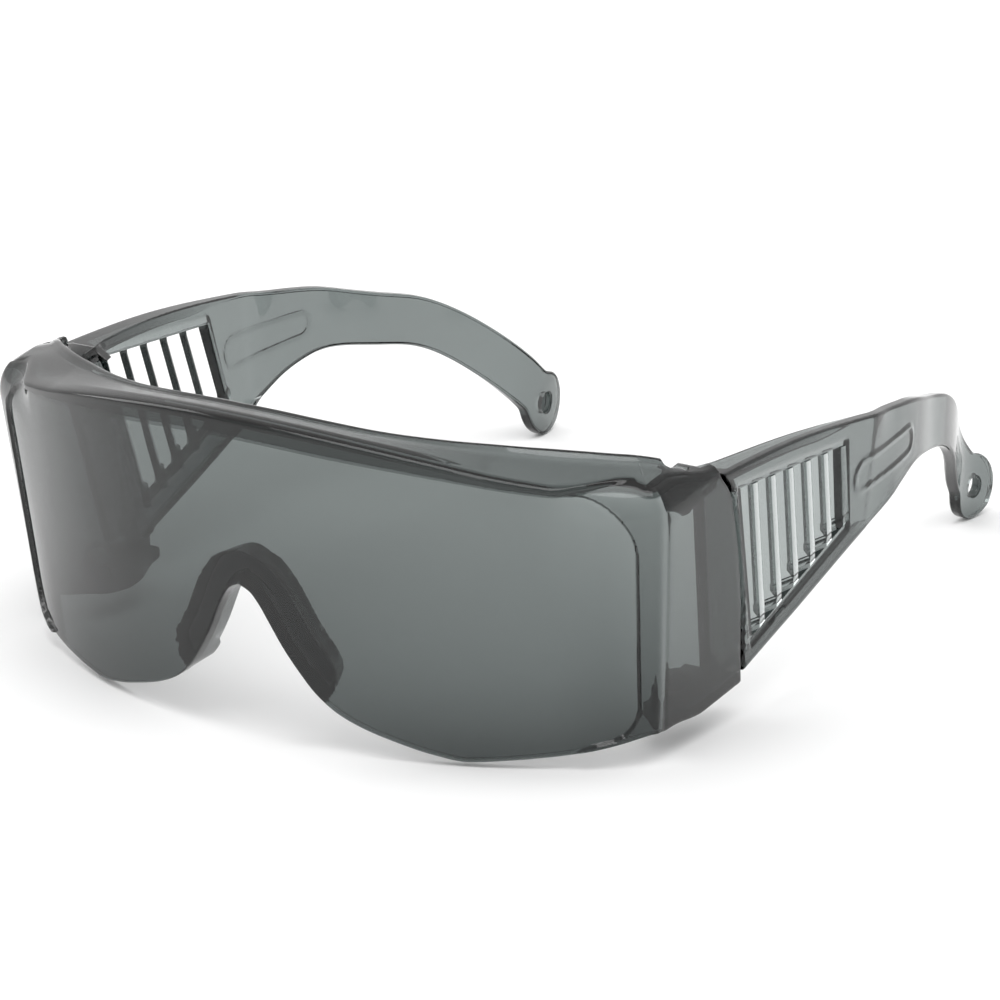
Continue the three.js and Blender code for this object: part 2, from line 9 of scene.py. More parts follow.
import bpy
import numpy as np
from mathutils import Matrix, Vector


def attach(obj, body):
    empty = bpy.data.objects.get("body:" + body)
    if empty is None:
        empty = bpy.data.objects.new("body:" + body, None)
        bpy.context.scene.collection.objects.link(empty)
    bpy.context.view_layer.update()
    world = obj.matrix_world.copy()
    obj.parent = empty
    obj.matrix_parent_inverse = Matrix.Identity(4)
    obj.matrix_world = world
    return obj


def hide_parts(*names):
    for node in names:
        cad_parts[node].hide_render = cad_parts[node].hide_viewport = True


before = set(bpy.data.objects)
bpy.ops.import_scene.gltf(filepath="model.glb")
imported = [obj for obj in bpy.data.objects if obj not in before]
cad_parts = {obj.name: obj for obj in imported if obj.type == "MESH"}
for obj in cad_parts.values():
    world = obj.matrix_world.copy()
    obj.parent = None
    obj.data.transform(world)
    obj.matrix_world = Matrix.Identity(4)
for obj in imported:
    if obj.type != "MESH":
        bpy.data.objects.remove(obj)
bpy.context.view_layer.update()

# ---------- driving dimensions, in millimetres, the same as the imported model's ----------
MM = 0.001
CRISP_DEG = 40
LOUVRE_CRISP_DEG = 20
REST_SHIFT = (0.0, 1.4, 0.0)      # moves the resting glasses to the middle of the frame
TILT = math.radians(8)            # the front leans forward at its top
FRONT_Y = -87.2

# the front in plan: a lens arc, a tight corner and a nearly straight side wall
LENS_RADIUS = 100.0
LENS_EDGE = math.radians(42.6)
CORNER_RADIUS = 6.0
SIDE_HEADING = math.radians(88.5)
LENS_THICK = 2.3
SIDE_THICK = 1.9
THICK_BLEND_S = (66, 80)          # the wall thins from lens to side along this stretch of the path
SIDE_WALL_RUN = 22.0              # rough length of the side wall, for rounding its rear end
EDGE_ROUND = 0.6

# the side walls lean outwards above LEAN_LEVEL, from LEAN_START_V rearwards
LEAN = 0.093
LEAN_LEVEL = 25.0
LEAN_START_V = 16.0
LEAN_FULL_V = 31.0

# the brow: a shelf behind the lens's top edge
TOP_CENTRE = 62.8
TOP_CURVE = 0.0037
TOP_STRAIGHT_X = 46.0
TOP_SIDE_SLOPE = 0.3
TOP_SIDE_GUESS = 48.0             # start value for finding the edge's height
BROW_THICK = 2.0
BROW_EDGE_RADIUS = 7.0
BROW_HALF_WIDTH = 73.5
BROW_DROOP = 0.3                  # fall per millimetre rearwards, in the middle of the shelf
BROW_DROOP_X = (20, 50)           # where the droop fades out
BROW_LIP = 0.5                    # the shelf's rear edge stands this much higher
SHELF_END_V = 46.6
SHELF_LIMIT = 16.0
FAN_START = 0.4                   # past the wall by this, the shelf's rows turn diagonal
REAR_CORNER_DROP = 2.2
REAR_CORNER_START_V = 34.0
SHOULDER_W = 42.3
SHOULDER_R = 8.0
SHOULDER_S = (58, 72)             # the shoulder grows along this stretch of the path

# the ledges under the side walls
LEDGE_THICK = 2.2
LEDGE_BOTTOM = -1.0
LEDGE_START_V = 27.0
LEDGE_FULL_V = 34.0
LENS_END_X = 67.7
FRONT_CORNER_W = 1.1              # bottom of the front where the lens turns into the side wall

# the clear window's outline: a fine step round the lens
WINDOW_S = 72.4
WINDOW_DROP_MIDDLE = 3.4
WINDOW_DROP_SIDE = 1.4
WINDOW_ROUND = 10.0
WINDOW_FOOT_ROUND = 6.0
WINDOW_FOOT_GAP = 0.7
WINDOW_OPEN_FOOT = 3.0            # under the lens the outline runs this far below the edge, so it can't show
WINDOW_OPEN_S = (55, 62)
WINDOW_FOOT_END_S = 67
WINDOW_DROP_X = (15, 62)
WINDOW_STEP = 0.7
WINDOW_BLEND = 0.2
WINDOW_FADE_S = (75.5, 78)        # the frame outside the window runs out round the corner
FAR_GAP = 9.0                     # stands for any point away from the outline

# the nose block: a band round the cut-out, deeper than the lens
NOSE_BAND = 5.8
NOSE_DEPTH = 7.3
NOSE_END_W = 14.0
NOSE_REAR_ROUND = 2.4
NOSE_REACH = (26, 40)             # the block lies within this x and w

# hinges
PIN_X = 64.2
PIN_V = 40.0
TONGUE_THICK = 3.0
TONGUE_NOSE_R = 3.3
TONGUE_REAR_V = 46.85
TONGUE_CORNER = 1.4
TONGUE_SOFT = 0.35
UPPER_TONGUE_TOP = 45.2
LOWER_TONGUE_TOP = 4.5
LOWER_TONGUE_EXTRA_V = 2.0
PIN_SHAFT_R = 1.4
PIN_HEAD_R = 2.3
PIN_HEAD_GAP = 0.25
PIN_FOOT_R = 2.5
PIN_FOOT_ROUND = 2.0
PIN_HEAD_ROUND = 1.0
PIN_HEAD_SINK = 2.2               # the upper head ends this far under the brow line
UPPER_PIN_W = (38.7, 41.9, 45.5)  # foot's end, foot's shoulder, head's underside
LOWER_PIN_W = (8.0, 4.8, 1.2)
LOWER_PIN_END_W = -1.3

# the temple's front panel
TEMPLE_X = 70.0
TEMPLE_LEAN = 0.09
TEMPLE_LEAN_LEVEL = 31.5
TEMPLE_WALL = 2.3
TEMPLE_FRONT_Y = -47.0
END_ROUND = 0.7
FLANGE_THICK = 2.2
LIP_JOG = 2.4                     # the lip runs this far inside the panel's face
LIP_TOP_W = 41.9
LIP_BOTTOM_W = 4.8
LIP_TOP_V = 46.9                  # behind these the panel regains its full height, top and bottom
LIP_BOTTOM_V = 48.9
LIP_BLEND = 0.8
LIP_OUTER_GAP = 0.25
LIP_INNER_GAP = 2.3

# the vent: a raked window with slanted louvres
WINDOW_FRONT_Y = -34.4
WINDOW_REAR_Y = -0.2
WINDOW_SILL = (-29.6, 14.6, 0.3974)    # y, z and slope of the window's lower edge
WINDOW_HEAD = (-39.3, 45.6, -0.0669)   # and of its upper edge
COLUMN_LEVEL = 30.0
FRAME_STEP = 0.45                 # the louvre window sits in a shallow recess
FRAME_STEP_GAP = (1.2, 1.6)
LOUVRE_COUNT = 6
LOUVRE_FIRST_Y = -33.4
LOUVRE_PITCH = 6.2
LOUVRE_THICK = 1.4
LOUVRE_CHORD = 5.6
LOUVRE_ANGLE = math.radians(38)
LOUVRE_RAKE = 0.27
LOUVRE_LEVEL = 36.0
LOUVRE_GAP = 0.06
LOUVRE_FOOT = 1.4
LOUVRE_FOOT_SWELL = 1.7

# the arm and its round tip
ARM_START = 9.0
ARM_FULL_Y = 20.0
ARM_THICK = 2.4
ARM_EASE = 4.0
GRIP_START = 6.0                  # centres of the long outline's two round ends
GRIP_END = 26.0
GRIP_HEIGHT = 0.27
TIP_X = 50.9
TIP_Y = 86.4
TIP_Z = 6.5
TIP_RADIUS = 6.5
TIP_HOLE_R = 2.1
TIP_FLARE = math.radians(7)
TIP_RUN = 0.69                    # share of the path that goes rearwards at the round tip
HOLE_FLARE = 0.9
HOLE_RIM = 0.3

# outlines, each a short list of points that a smooth curve runs through
NOSE_HALF = [(0, 30), (2.2, 28.9), (4, 26.6), (5.6, 23.6), (8, 19), (11, 14.3), (13.8, 10.6), (17.5, 7.4),
             (22, 5), (28, 2.7), (34, 0.7), (40, -0.6), (46, -0.4), (52, -0.1), (58, 0.3), (63, 0.9),
             (66.5, 1.5), (LENS_END_X, 1.7)]
BROW_REAR = [(0, 8.2), (12, 9.1), (24, 12), (36, 17), (43, 21.6), (48, 25.6), (53, 30), (57.6, 34),
             (62, 38.4), (66, 42.6), (70, 45.6), (76, SHELF_END_V)]
SHIELD_REAR = [(-3, 55.2), (6, 54.6), (14, 54.4), (24, 53.4), (31.5, 52), (39, 50), (45, SHELF_END_V),
               (60, SHELF_END_V)]
LEDGE_INNER = [(28.4, 66), (32.6, 63.4), (36, 60.2), (44, 59.6), (52, 62), (60, 63)]
TOP_EDGE = [(-60, 50.2), (-40, 50.1), (-30, 49.9), (-20, 49.4), (-10, 48.5), (0, 47.3), (9, 46.1)]
BOTTOM_EDGE = [(-60, -1.6), (-38, 6.3), (-31, 9), (-23, 11.9), (-15, 14.7), (-8, 17.3), (0, 20.3),
               (9, 23.6)]
TOP_FLANGE = [(-60, 8.4), (-46, 8.4), (-33, 5.6), (-12, 3.6), (9, 2.3)]
BOTTOM_FLANGE = [(-60, 3.6), (4, 3.6), (12, 2.3)]
COLUMN_RAKE = [(-47, 0.24), (-34.4, 0.313), (-0.2, 0.241), (9, 0)]
ARM_X = [(9, 70.3), (15, 69.9), (21, 69.2), (29, 67.9), (36.5, 66), (46, 63), (54, 61.2), (62, 58.8),
         (70, 55.4), (78, 51.8), (84, 50.6), (92, 51.6)]
ARM_Z = [(9, 34.85), (15, 35.6), (21, 36.2), (29, 36.4), (36.5, 35.2), (46, 32.9), (54, 31), (62, 27.4),
         (70, 22), (78, 15), (84, 9), (86.4, 6.5), (92, 0.65)]
ARM_HALF = [(9, 11.25), (15, 9.7), (21, 8.2), (29, 6.6), (36.5, 5.6), (46, 5.2), (54, 5), (62, 4.8),
            (92, 4.8)]
LOUVRE_SECTION = [(-1, 1), (0.5, 1), (1, -0.56), (1, -1), (-1, -1)]

# colours; a tint is what the plastic lets through
SMOKE_LIGHT = (0.93, 0.95, 0.95, 1)
SMOKE_DEEP = (0.86, 0.89, 0.88, 1)
SMOKE_ABSORPTION = (0.32, 0.36, 0.355, 1)
# painted shade for the brow, in place of the darkening that light bent and reflected inside the thick brow
# gives
BROW_PAINTED_SHADE = (0.20, 0.23, 0.225, 1)
# painted shade, darker towards the foot of the lens
LENS_FOOT_PAINTED_SHADE = (0.52, 0.55, 0.55, 1)
LENS_SHADE_Z = (6, 48)             # the foot's painted shade fades out between these heights
# painted shade: the dark line round the lens window
EDGE_LINE_PAINTED_SHADE = (0.02, 0.025, 0.025, 1)
EDGE_LINE_GAP = (0.12, 0.38)      # half widths of the window line's solid and faded parts
PIN_DARK = (0.012, 0.014, 0.016, 1)
PIN_LIGHT = (0.03, 0.033, 0.036, 1)
FLOOR_DULL = (0.90, 0.90, 0.90, 1)
FLOOR_BRIGHT = (0.93, 0.93, 0.93, 1)
FRONT_DENSITY = 1060              # absorption per metre in the front
TEMPLE_DENSITY = 880

# camera, in metres and degrees
CAMERA_AZIMUTH = math.radians(32.515)
CAMERA_ELEVATION = math.radians(19.754)
CAMERA_DISTANCE = 1.0848
CAMERA_LENS = 206.7
CAMERA_SHIFT = (-0.0192, 0.0962)
FLOOR_HALF = 3.0
FLOOR_GAP = 0.0002

# rows of the front's section, from the underside over the wall to the shelf's rear edge
UNDER_ROWS = 9
FOOT_ROUND_ROWS = 4
WALL_ROWS = 84
LINE_ROWS = np.array([3.7, 2.7, 1.9, 1.3, 0.8, 0.5, 0.3, 0.2, 0.1, 0.0, -0.1, -0.2, -0.3])
ROWS_ABOVE_LINE = 6
CREASE_STEPS = 4
SHELF_STEPS = 14
FOOT_LIFT = 0.35                  # the inner face's lowest row where there is no ledge
THIN_SHELF = 0.15                 # the shelf and ledge stand this proud of the wall where they run out
# rows of the brow's painted shade: half strength over the shelf, full strength down to the window's top line
SHADE_ROWS_SHELF = 18              # rows counted from the shelf's rear edge to its front edge
SHADE_ROWS_BROW = 30               # and on down to the window's top line
SHELF_SHADE_SHARE = 0.5

# rows of a temple's section
BOTTOM_ROWS = 8
WINDOW_ROWS = 26
TOP_ROWS = 8
FLANGE_ROWS = 5
ROUND_ROWS = 4
FIRST_WINDOW_ROW = 1 + FLANGE_ROWS + ROUND_ROWS + BOTTOM_ROWS
ARM_SHARES = (0.28, 0.835)        # heights on the arm that carry on the window's bottom and top rows


# ---------- small numeric helpers ----------
def smooth(value, low, high):
    """0 below low, 1 above high, and an S-curve between."""
    t = min(max((value - low) / (high - low), 0.0), 1.0)
    return t * t * (3 - 2 * t)


def curve_through(points):
    """A smooth function y(x) through the points, with slopes that never overshoot."""
    xs = np.array([p[0] for p in points], float)
    ys = np.array([p[1] for p in points], float)
    steps = np.diff(ys) / np.diff(xs)
    slopes = np.zeros(len(xs))
    slopes[0] = steps[0]
    slopes[-1] = steps[-1]
    for k in range(1, len(xs) - 1):
        if steps[k - 1] * steps[k] > 0:
            slopes[k] = 2 * steps[k - 1] * steps[k] / (steps[k - 1] + steps[k])

    def value(x):
        k = int(np.clip(np.searchsorted(xs, x) - 1, 0, len(xs) - 2))
        width = xs[k + 1] - xs[k]
        t = (x - xs[k]) / width
        if t <= 0:
            return ys[k] + slopes[k] * (x - xs[k])
        if t >= 1:
            return ys[k + 1] + slopes[k + 1] * (x - xs[k + 1])
        a = (1 + 2 * t) * (1 - t) ** 2
        b = t * (1 - t) ** 2
        c = t * t * (3 - 2 * t)
        d = t * t * (t - 1)
        return a * ys[k] + b * width * slopes[k] + c * ys[k + 1] + d * width * slopes[k + 1]

    return value


def eased(curve, reach):
    """The curve averaged over a short reach either side, which takes out the bends at its stations."""
    offsets = np.linspace(-reach, reach, 9)
    return lambda x: float(np.mean([curve(x + d) for d in offsets]))


def stations(*spans):
    """Joined even spacings: each span is (from, to, step)."""
    out = []
    for low, high, step in spans:
        count = max(1, round((high - low) / step))
        out.extend(np.linspace(low, high, count, endpoint=False))
    out.append(spans[-1][1])
    return np.array(out)


def new_mesh(name, points, faces):
    """A mesh in metres, in the frame's rest place, from points in millimetres."""
    mesh = bpy.data.meshes.new(name)
    scaled = [tuple((value + shift) * MM for value, shift in zip(p, REST_SHIFT)) for p in points]
    mesh.from_pydata(scaled, [], faces)
    mesh.validate()
    return mesh


def new_piece(name, points, faces, crisp_deg=CRISP_DEG):
    """A shaded object from points in millimetres, with edges sharper than crisp_deg kept crisp."""
    obj = bpy.data.objects.new(name, new_mesh(name, points, faces))
    bpy.context.scene.collection.objects.link(obj)
    finish_shading(obj, crisp_deg)
    return obj


def finish_shading(obj, crisp_deg):
    """Smooth shading, with edges sharper than crisp_deg kept crisp."""
    obj.data.shade_smooth()
    obj.data.set_sharp_from_angle(angle=math.radians(crisp_deg))


def paired_sweep(outer, inner, hole=(0, 0, 0, 0)):
    """Points and quads of the closed body between two grids [column][row] that share their edges.

    hole gives the columns and rows (from, to, from, to) of an opening cut right through.
    """
    columns = len(outer)
    rows = len(outer[0])
    points = [p for column in outer for p in column] + [p for column in inner for p in column]
    base = columns * rows
    c0, c1, r0, r1 = hole
    faces = []

    def wall(a, b):
        faces.append((a, b, base + b, base + a))

    for c in range(columns - 1):
        for r in range(rows - 1):
            if c0 <= c < c1 and r0 <= r < r1:
                continue
            a = c * rows + r
            faces.append((a, a + rows, a + rows + 1, a + 1))
            faces.append((base + a, base + a + 1, base + a + rows + 1, base + a + rows))
        wall((c + 1) * rows, c * rows)
        wall(c * rows + rows - 1, (c + 1) * rows + rows - 1)
    for r in range(rows - 1):
        end = (columns - 1) * rows + r
        wall(r, r + 1)
        wall(end + 1, end)
    for r in range(r0, r1):
        wall(c0 * rows + r + 1, c0 * rows + r)
        wall(c1 * rows + r, c1 * rows + r + 1)
    for c in range(c0, c1):
        wall(c * rows + r0, (c + 1) * rows + r0)
        wall((c + 1) * rows + r1, c * rows + r1)
    return points, faces


def stacked_loops(loops):
    """Points and faces of the closed body through loops of equal length, capped at both ends."""
    count = len(loops[0])
    points = [p for loop in loops for p in loop]
    faces = [tuple(range(count))[::-1]]
    for k in range(len(loops) - 1):
        for i in range(count):
            a = k * count + i
            b = k * count + (i + 1) % count
            faces.append((a, b, b + count, a + count))
    last = (len(loops) - 1) * count
    faces.append(tuple(range(last, last + count)))
    return points, faces


def joined(bodies):
    """One set of points and faces from several."""
    points, faces = [], []
    for body_points, body_faces in bodies:
        shift = len(points)
        points.extend(body_points)
        faces.extend(tuple(i + shift for i in face) for face in body_faces)
    return points, faces


def on_side(body, side):
    """The body as drawn for the left side, or mirrored for the right."""
    points, faces = body
    if side > 0:
        return points, faces
    return [(-x, y, z) for x, y, z in points], [face[::-1] for face in faces]


# ---------- front: the shape functions ----------
nose_edge = curve_through(NOSE_HALF)
brow_rear = curve_through(BROW_REAR)
shield_rear = curve_through(SHIELD_REAR)
ledge_inner = curve_through(LEDGE_INNER)

ARC_END = LENS_RADIUS * LENS_EDGE
CORNER_END = ARC_END + CORNER_RADIUS * (SIDE_HEADING - LENS_EDGE)


def path(s):
    """x, v and heading of the front's outer face in plan, s millimetres along from the middle."""
    if s <= ARC_END:
        h = s / LENS_RADIUS
        return LENS_RADIUS * math.sin(h), LENS_RADIUS * (1 - math.cos(h)), h
    x1, v1, _ = path(ARC_END)
    if s <= CORNER_END:
        h = LENS_EDGE + (s - ARC_END) / CORNER_RADIUS
        return (x1 + CORNER_RADIUS * (math.sin(h) - math.sin(LENS_EDGE)),
                v1 + CORNER_RADIUS * (math.cos(LENS_EDGE) - math.cos(h)), h)
    x2, v2, _ = path(CORNER_END)
    run = s - CORNER_END
    return x2 + run * math.cos(SIDE_HEADING), v2 + run * math.sin(SIDE_HEADING), SIDE_HEADING


CORNER_V = path(CORNER_END)[1]


def top_line(x):
    """Height of the brow's edge: a shallow arch in the middle, then a straight slope."""
    inner = min(abs(x), TOP_STRAIGHT_X)
    return TOP_CENTRE - TOP_CURVE * inner * inner - TOP_SIDE_SLOPE * max(abs(x) - TOP_STRAIGHT_X, 0)


def corner_drop(v):
    """The shelf's outer corner eases down towards its rear end."""
    return REAR_CORNER_DROP * smooth(v, REAR_CORNER_START_V, SHELF_END_V)


def rounded_top(x):
    """Height of the shelf's top at x, with its outer corner rounded."""
    slope = math.atan(TOP_SIDE_SLOPE)
    corner_x = BROW_HALF_WIDTH - BROW_EDGE_RADIUS
    corner_w = top_line(corner_x) - BROW_EDGE_RADIUS / math.cos(slope)
    tangent_x = corner_x + BROW_EDGE_RADIUS * math.sin(slope)
    if abs(x) <= tangent_x:
        return top_line(x)
    out = min(abs(x) - corner_x, BROW_EDGE_RADIUS * 0.999)
    return corner_w + math.sqrt(BROW_EDGE_RADIUS ** 2 - out * out)


def shoulder(w, s):
    """How far the corner and side wall curve inwards near their top."""
    rise = min(max(w - SHOULDER_W, 0.0), SHOULDER_R * 0.95)
    return (SHOULDER_R - math.sqrt(SHOULDER_R ** 2 - rise * rise)) * smooth(s, *SHOULDER_S)


def to_world(x, v, w):
    """From the front's own frame, with the side walls' lean, to the glasses' frame."""
    lean = math.copysign(1, x) * LEAN * smooth(v, LEAN_START_V, LEAN_FULL_V) * (w - LEAN_LEVEL)
    return (x + lean, FRONT_Y + v * math.cos(TILT) - w * math.sin(TILT),
            v * math.sin(TILT) + w * math.cos(TILT))


def window_drop(x):
    """How far the window's top line runs below the brow's edge."""
    return WINDOW_DROP_MIDDLE + (WINDOW_DROP_SIDE - WINDOW_DROP_MIDDLE) * smooth(x, *WINDOW_DROP_X)


def window_depth(s, w):
    """Distance inside the clear window's outline, negative outside it."""
    x = path(s)[0]
    right = WINDOW_S - s
    top = top_line(x) - window_drop(x) - w
    open_foot = WINDOW_OPEN_FOOT * (1 - smooth(s, *WINDOW_OPEN_S))
    bottom = w - (nose_edge(min(s, WINDOW_FOOT_END_S)) + WINDOW_FOOT_GAP) + open_foot
    depth = min(right, top)
    if right < WINDOW_ROUND and top < WINDOW_ROUND:
        depth = WINDOW_ROUND - math.hypot(WINDOW_ROUND - right, WINDOW_ROUND - top)
    if right < WINDOW_FOOT_ROUND and bottom < WINDOW_FOOT_ROUND:
        corner = math.hypot(WINDOW_FOOT_ROUND - right, WINDOW_FOOT_ROUND - bottom)
        depth = min(depth, WINDOW_FOOT_ROUND - corner)
    return min(depth, bottom)


def window_gap(column, w):
    """Signed distance to the window's outline, kept far from zero on the side walls."""
    kind, value = column
    return window_depth(value, w) if kind == "arc" else FAR_GAP


def window_step(s, w):
    """How far the frame outside the clear window stands proud of it."""
    if s >= WINDOW_FADE_S[1]:
        return 0.0
    inside = smooth(window_depth(s, w), -WINDOW_BLEND, WINDOW_BLEND)
    return WINDOW_STEP * (1 - inside) * (1 - smooth(s, *WINDOW_FADE_S))


nose_line = np.array([(x, nose_edge(abs(x))) for x in np.linspace(-24, 24, 193)])
nose_line = nose_line[nose_line[:, 1] >= NOSE_END_W]


def nose_block(x, w):
    """Extra depth of the inner face round the nose cut-out."""
    if abs(x) > NOSE_REACH[0] or w > NOSE_REACH[1]:
        return 0.0
    gap = float(np.min(np.hypot(nose_line[:, 0] - x, nose_line[:, 1] - w)))
    level = 1 - smooth(gap, NOSE_BAND - 0.3, NOSE_BAND + 0.3)
    ease = max(NOSE_REAR_ROUND - gap, 0.0)
    lift = NOSE_REAR_ROUND - math.sqrt(max(NOSE_REAR_ROUND ** 2 - ease * ease, 0.0))
    return max((NOSE_DEPTH - LENS_THICK) * level - lift * level, 0.0)


def front_columns():
    """Column positions for one half: ('arc', s) over lens and corner, then ('side', f) along the wall."""
    arc = [("arc", s) for s in stations((0, 20, 0.5), (20, 60, 1.0), (60, 70, 0.5), (70, CORNER_END, 0.3))]
    side = [("side", f) for f in stations((0, 0.9, 0.035), (0.9, 0.97, 0.02), (0.97, 1, 0.006))[1:]]
    return arc + side


def base_point(column, w):
    """x, v, heading and path length of a column's outer face at height w."""
    kind, value = column
    s = value
    if kind == "side":
        s = CORNER_END + value * (shield_rear(w) - CORNER_V) / math.sin(SIDE_HEADING)
    x, v, heading = path(s)
    inward = shoulder(w, s)
    return x - inward * math.sin(heading), v + inward * math.cos(heading), heading, s


def fan(x, v, heading, inward, wall):
    """A point inwards of the outline; past the wall the rows run diagonally, so they never cross."""
    near = min(inward, wall + FAN_START)
    far = inward - near
    turn = min(heading, LENS_EDGE)
    return (x - near * math.sin(heading) - far * math.sin(turn),
            v + near * math.cos(heading) + far * math.cos(turn))


def bottom_level(column):
    """Height of the underside: the lens's lower edge, then down to the ledge along the side wall."""
    kind, value = column
    if kind == "arc":
        ledge_start = smooth(value, ARC_END, CORNER_END + 1)
        lens_foot = nose_edge(min(path(value)[0], LENS_END_X))
        return lens_foot * (1 - ledge_start) + FRONT_CORNER_W * ledge_start
    return FRONT_CORNER_W + (LEDGE_BOTTOM - FRONT_CORNER_W) * smooth(value, 0.0, 0.5)


def crown(column):
    """Height at which a column meets the brow's edge."""
    top = TOP_SIDE_GUESS
    for _ in range(12):
        x, v, _, _ = base_point(column, top)
        top = 0.5 * (top + rounded_top(x) - corner_drop(v))
    return top


def shelf_reach(x, v, heading, thick):
    """How far the shelf runs inwards to the brow's rear outline."""
    if v >= brow_rear(x):
        return thick + THIN_SHELF
    low, high = 0.0, SHELF_LIMIT
    for _ in range(30):
        middle = 0.5 * (low + high)
        shelf_x, shelf_v = fan(x, v, heading, middle, thick)
        if shelf_v < brow_rear(max(shelf_x, 0)):
            low = middle
        else:
            high = middle
    return max(thick + THIN_SHELF, low)


def ledge_reach(x, v, thick):
    """How far the underside runs inwards to the ledge's inner outline."""
    reach = thick + THIN_SHELF
    if v > LEDGE_START_V:
        inner_x = ledge_inner(max(v, LEDGE_INNER[0][0]))
        reach += max(x - inner_x - reach, 0) * smooth(v, LEDGE_START_V, LEDGE_FULL_V)
    return reach


def front_section(column):
    """Outer and inner points (x, v, w) of one column, from the underside to the shelf's rear edge."""
    foot = bottom_level(column)
    top = crown(column)
    x, v, heading, s = base_point(column, top)
    thick = LENS_THICK + (SIDE_THICK - LENS_THICK) * smooth(s, *THICK_BLEND_S)
    shelf = shelf_reach(x, v, heading, thick)
    foot_x, foot_v, _, _ = base_point(column, foot)
    ledge = ledge_reach(foot_x, foot_v, thick)
    foot_inner = foot + (LEDGE_THICK if ledge > thick + 0.5 else FOOT_LIFT)
    outer, inner = [], []

    def place(inward, w, base_w):
        bx, bv, turn, _ = base_point(column, base_w)
        return bx - inward * math.sin(turn), bv + inward * math.cos(turn), w

    def place_shelf(inward, w):
        return *fan(x, v, heading, inward, thick), w

    def shelf_top(inward):
        px, pv = fan(x, v, heading, inward, thick)
        lens_v = LENS_RADIUS - math.sqrt(max(LENS_RADIUS ** 2 - px * px, 1))
        behind = max(pv - lens_v - LENS_THICK, 0)
        droop = BROW_DROOP * behind * (1 - smooth(abs(px), *BROW_DROOP_X))
        lip = BROW_LIP * smooth(inward, shelf - 2.0, shelf - 1.0) * smooth(shelf, 4, 6)
        return rounded_top(px) - droop + lip - corner_drop(pv)

    def add_underside():
        tip = max(ledge, thick + nose_block(x, foot + 0.4))
        for k in range(UNDER_ROWS):
            t = k / UNDER_ROWS
            outer.append(place(tip + (EDGE_ROUND - tip) * t, foot, foot))
            inner.append(place(tip + (thick - tip) * t, foot_inner, foot))
        for k in range(FOOT_ROUND_ROWS):
            a = math.pi / 2 * k / FOOT_ROUND_ROWS
            outer.append(place(EDGE_ROUND * (1 - math.sin(a)), foot + EDGE_ROUND * (1 - math.cos(a)), foot))
            w = foot_inner + 0.05 * (k + 1)
            inner.append(place(thick + nose_block(x, w), w, w))

    def add_wall():
        low = foot + EDGE_ROUND
        high = top - EDGE_ROUND
        inner_low = foot_inner + 0.3
        inner_high = shelf_top(thick) - BROW_THICK - 0.3
        line = window_drop(x) - EDGE_ROUND
        drops = np.concatenate([line + LINE_ROWS, np.linspace(line - 0.3, 0, ROWS_ABOVE_LINE + 1)[1:]])
        fine = drops / (top - EDGE_ROUND - foot - EDGE_ROUND)
        for t in np.concatenate([np.linspace(0, 1 - fine[0], WALL_ROWS, endpoint=False), 1 - fine]):
            w = low + (high - low) * t
            outer.append(place(-window_step(s, w), w, w))
            w = inner_low + (inner_high - inner_low) * t
            inner.append(place(thick + nose_block(path(s)[0] if s < 60 else 60, w), w, w))

    def add_shelf():
        proud = WINDOW_STEP * (1 - smooth(s, *WINDOW_FADE_S))
        high = top - EDGE_ROUND
        under = shelf_top(thick) - BROW_THICK - 0.3
        for k in range(1, CREASE_STEPS):
            t = k / CREASE_STEPS
            w = high + (top - high) * (1 - (1 - t) ** 2)
            outer.append(place_shelf(EDGE_ROUND * t * t - proud * (1 - t), w))
            inner.append(place_shelf(thick + 0.1 * k, under + 0.1 * k))
        edge = shelf - min(0.5, 0.25 * BROW_THICK)
        for k in range(SHELF_STEPS + 1):
            t = k / SHELF_STEPS
            i = EDGE_ROUND + (edge - EDGE_ROUND) * t
            outer.append(place_shelf(i, shelf_top(i)))
            i = thick + FOOT_LIFT + (edge - thick - FOOT_LIFT) * t
            inner.append(place_shelf(i, shelf_top(i) - BROW_THICK))
        for i, inset in ((shelf - 0.12, 0.2), (shelf, 0.6)):
            outer.append(place_shelf(i, shelf_top(shelf) - inset))
            inner.append(place_shelf(i, shelf_top(shelf) - BROW_THICK + inset))

    add_underside()
    add_wall()
    add_shelf()
    return outer, inner


def soften_end(outer, inner, distance, radius):
    """Draws the two faces together near a free edge so that the edge is rounded."""
    reach = max(radius - distance, 0.0)
    inset = radius - math.sqrt(max(radius * radius - reach * reach, 0.0))
    new_outer, new_inner = [], []
    for p, q in zip(outer, inner):
        gap = math.dist(p, q)
        share = min(inset / gap, 0.45) if gap > 1e-6 else 0
        new_outer.append(tuple(a + (b - a) * share for a, b in zip(p, q)))
        new_inner.append(tuple(b + (a - b) * share for a, b in zip(p, q)))
    return new_outer, new_inner


def both_halves(grid):
    """The columns of one half, mirrored to the other side and joined in the middle."""
    return [[(-x, v, w) for x, v, w in column] for column in grid[:0:-1]] + grid


def mark_window(piece, columns, outer):
    """Stores each outer point's distance to the clear window's outline, for the painted dark line round it.
    """
    rows = len(outer[0])
    gap = piece.data.attributes.new("window_gap", "FLOAT", "POINT")
    for c, column in enumerate(columns[:0:-1] + columns):
        for r in range(rows):
            gap.data[c * rows + r].value = window_gap(column, outer[c][r][2])
            gap.data[(c + len(outer)) * rows + r].value = FAR_GAP


def mark_brow_shade(piece, rows):
    """Marks the shelf and the band under its edge for painted shade, which stands in for the darkening that
    light bent and reflected inside the thick brow gives.
    """
    band = piece.data.attributes.new("brow_painted_shade", "FLOAT", "POINT")
    for index, point in enumerate(band.data):
        row_from_rear = rows - index % rows
        if row_from_rear <= SHADE_ROWS_SHELF:
            point.value = SHELF_SHADE_SHARE
        elif row_from_rear <= SHADE_ROWS_BROW:
            point.value = 1.0


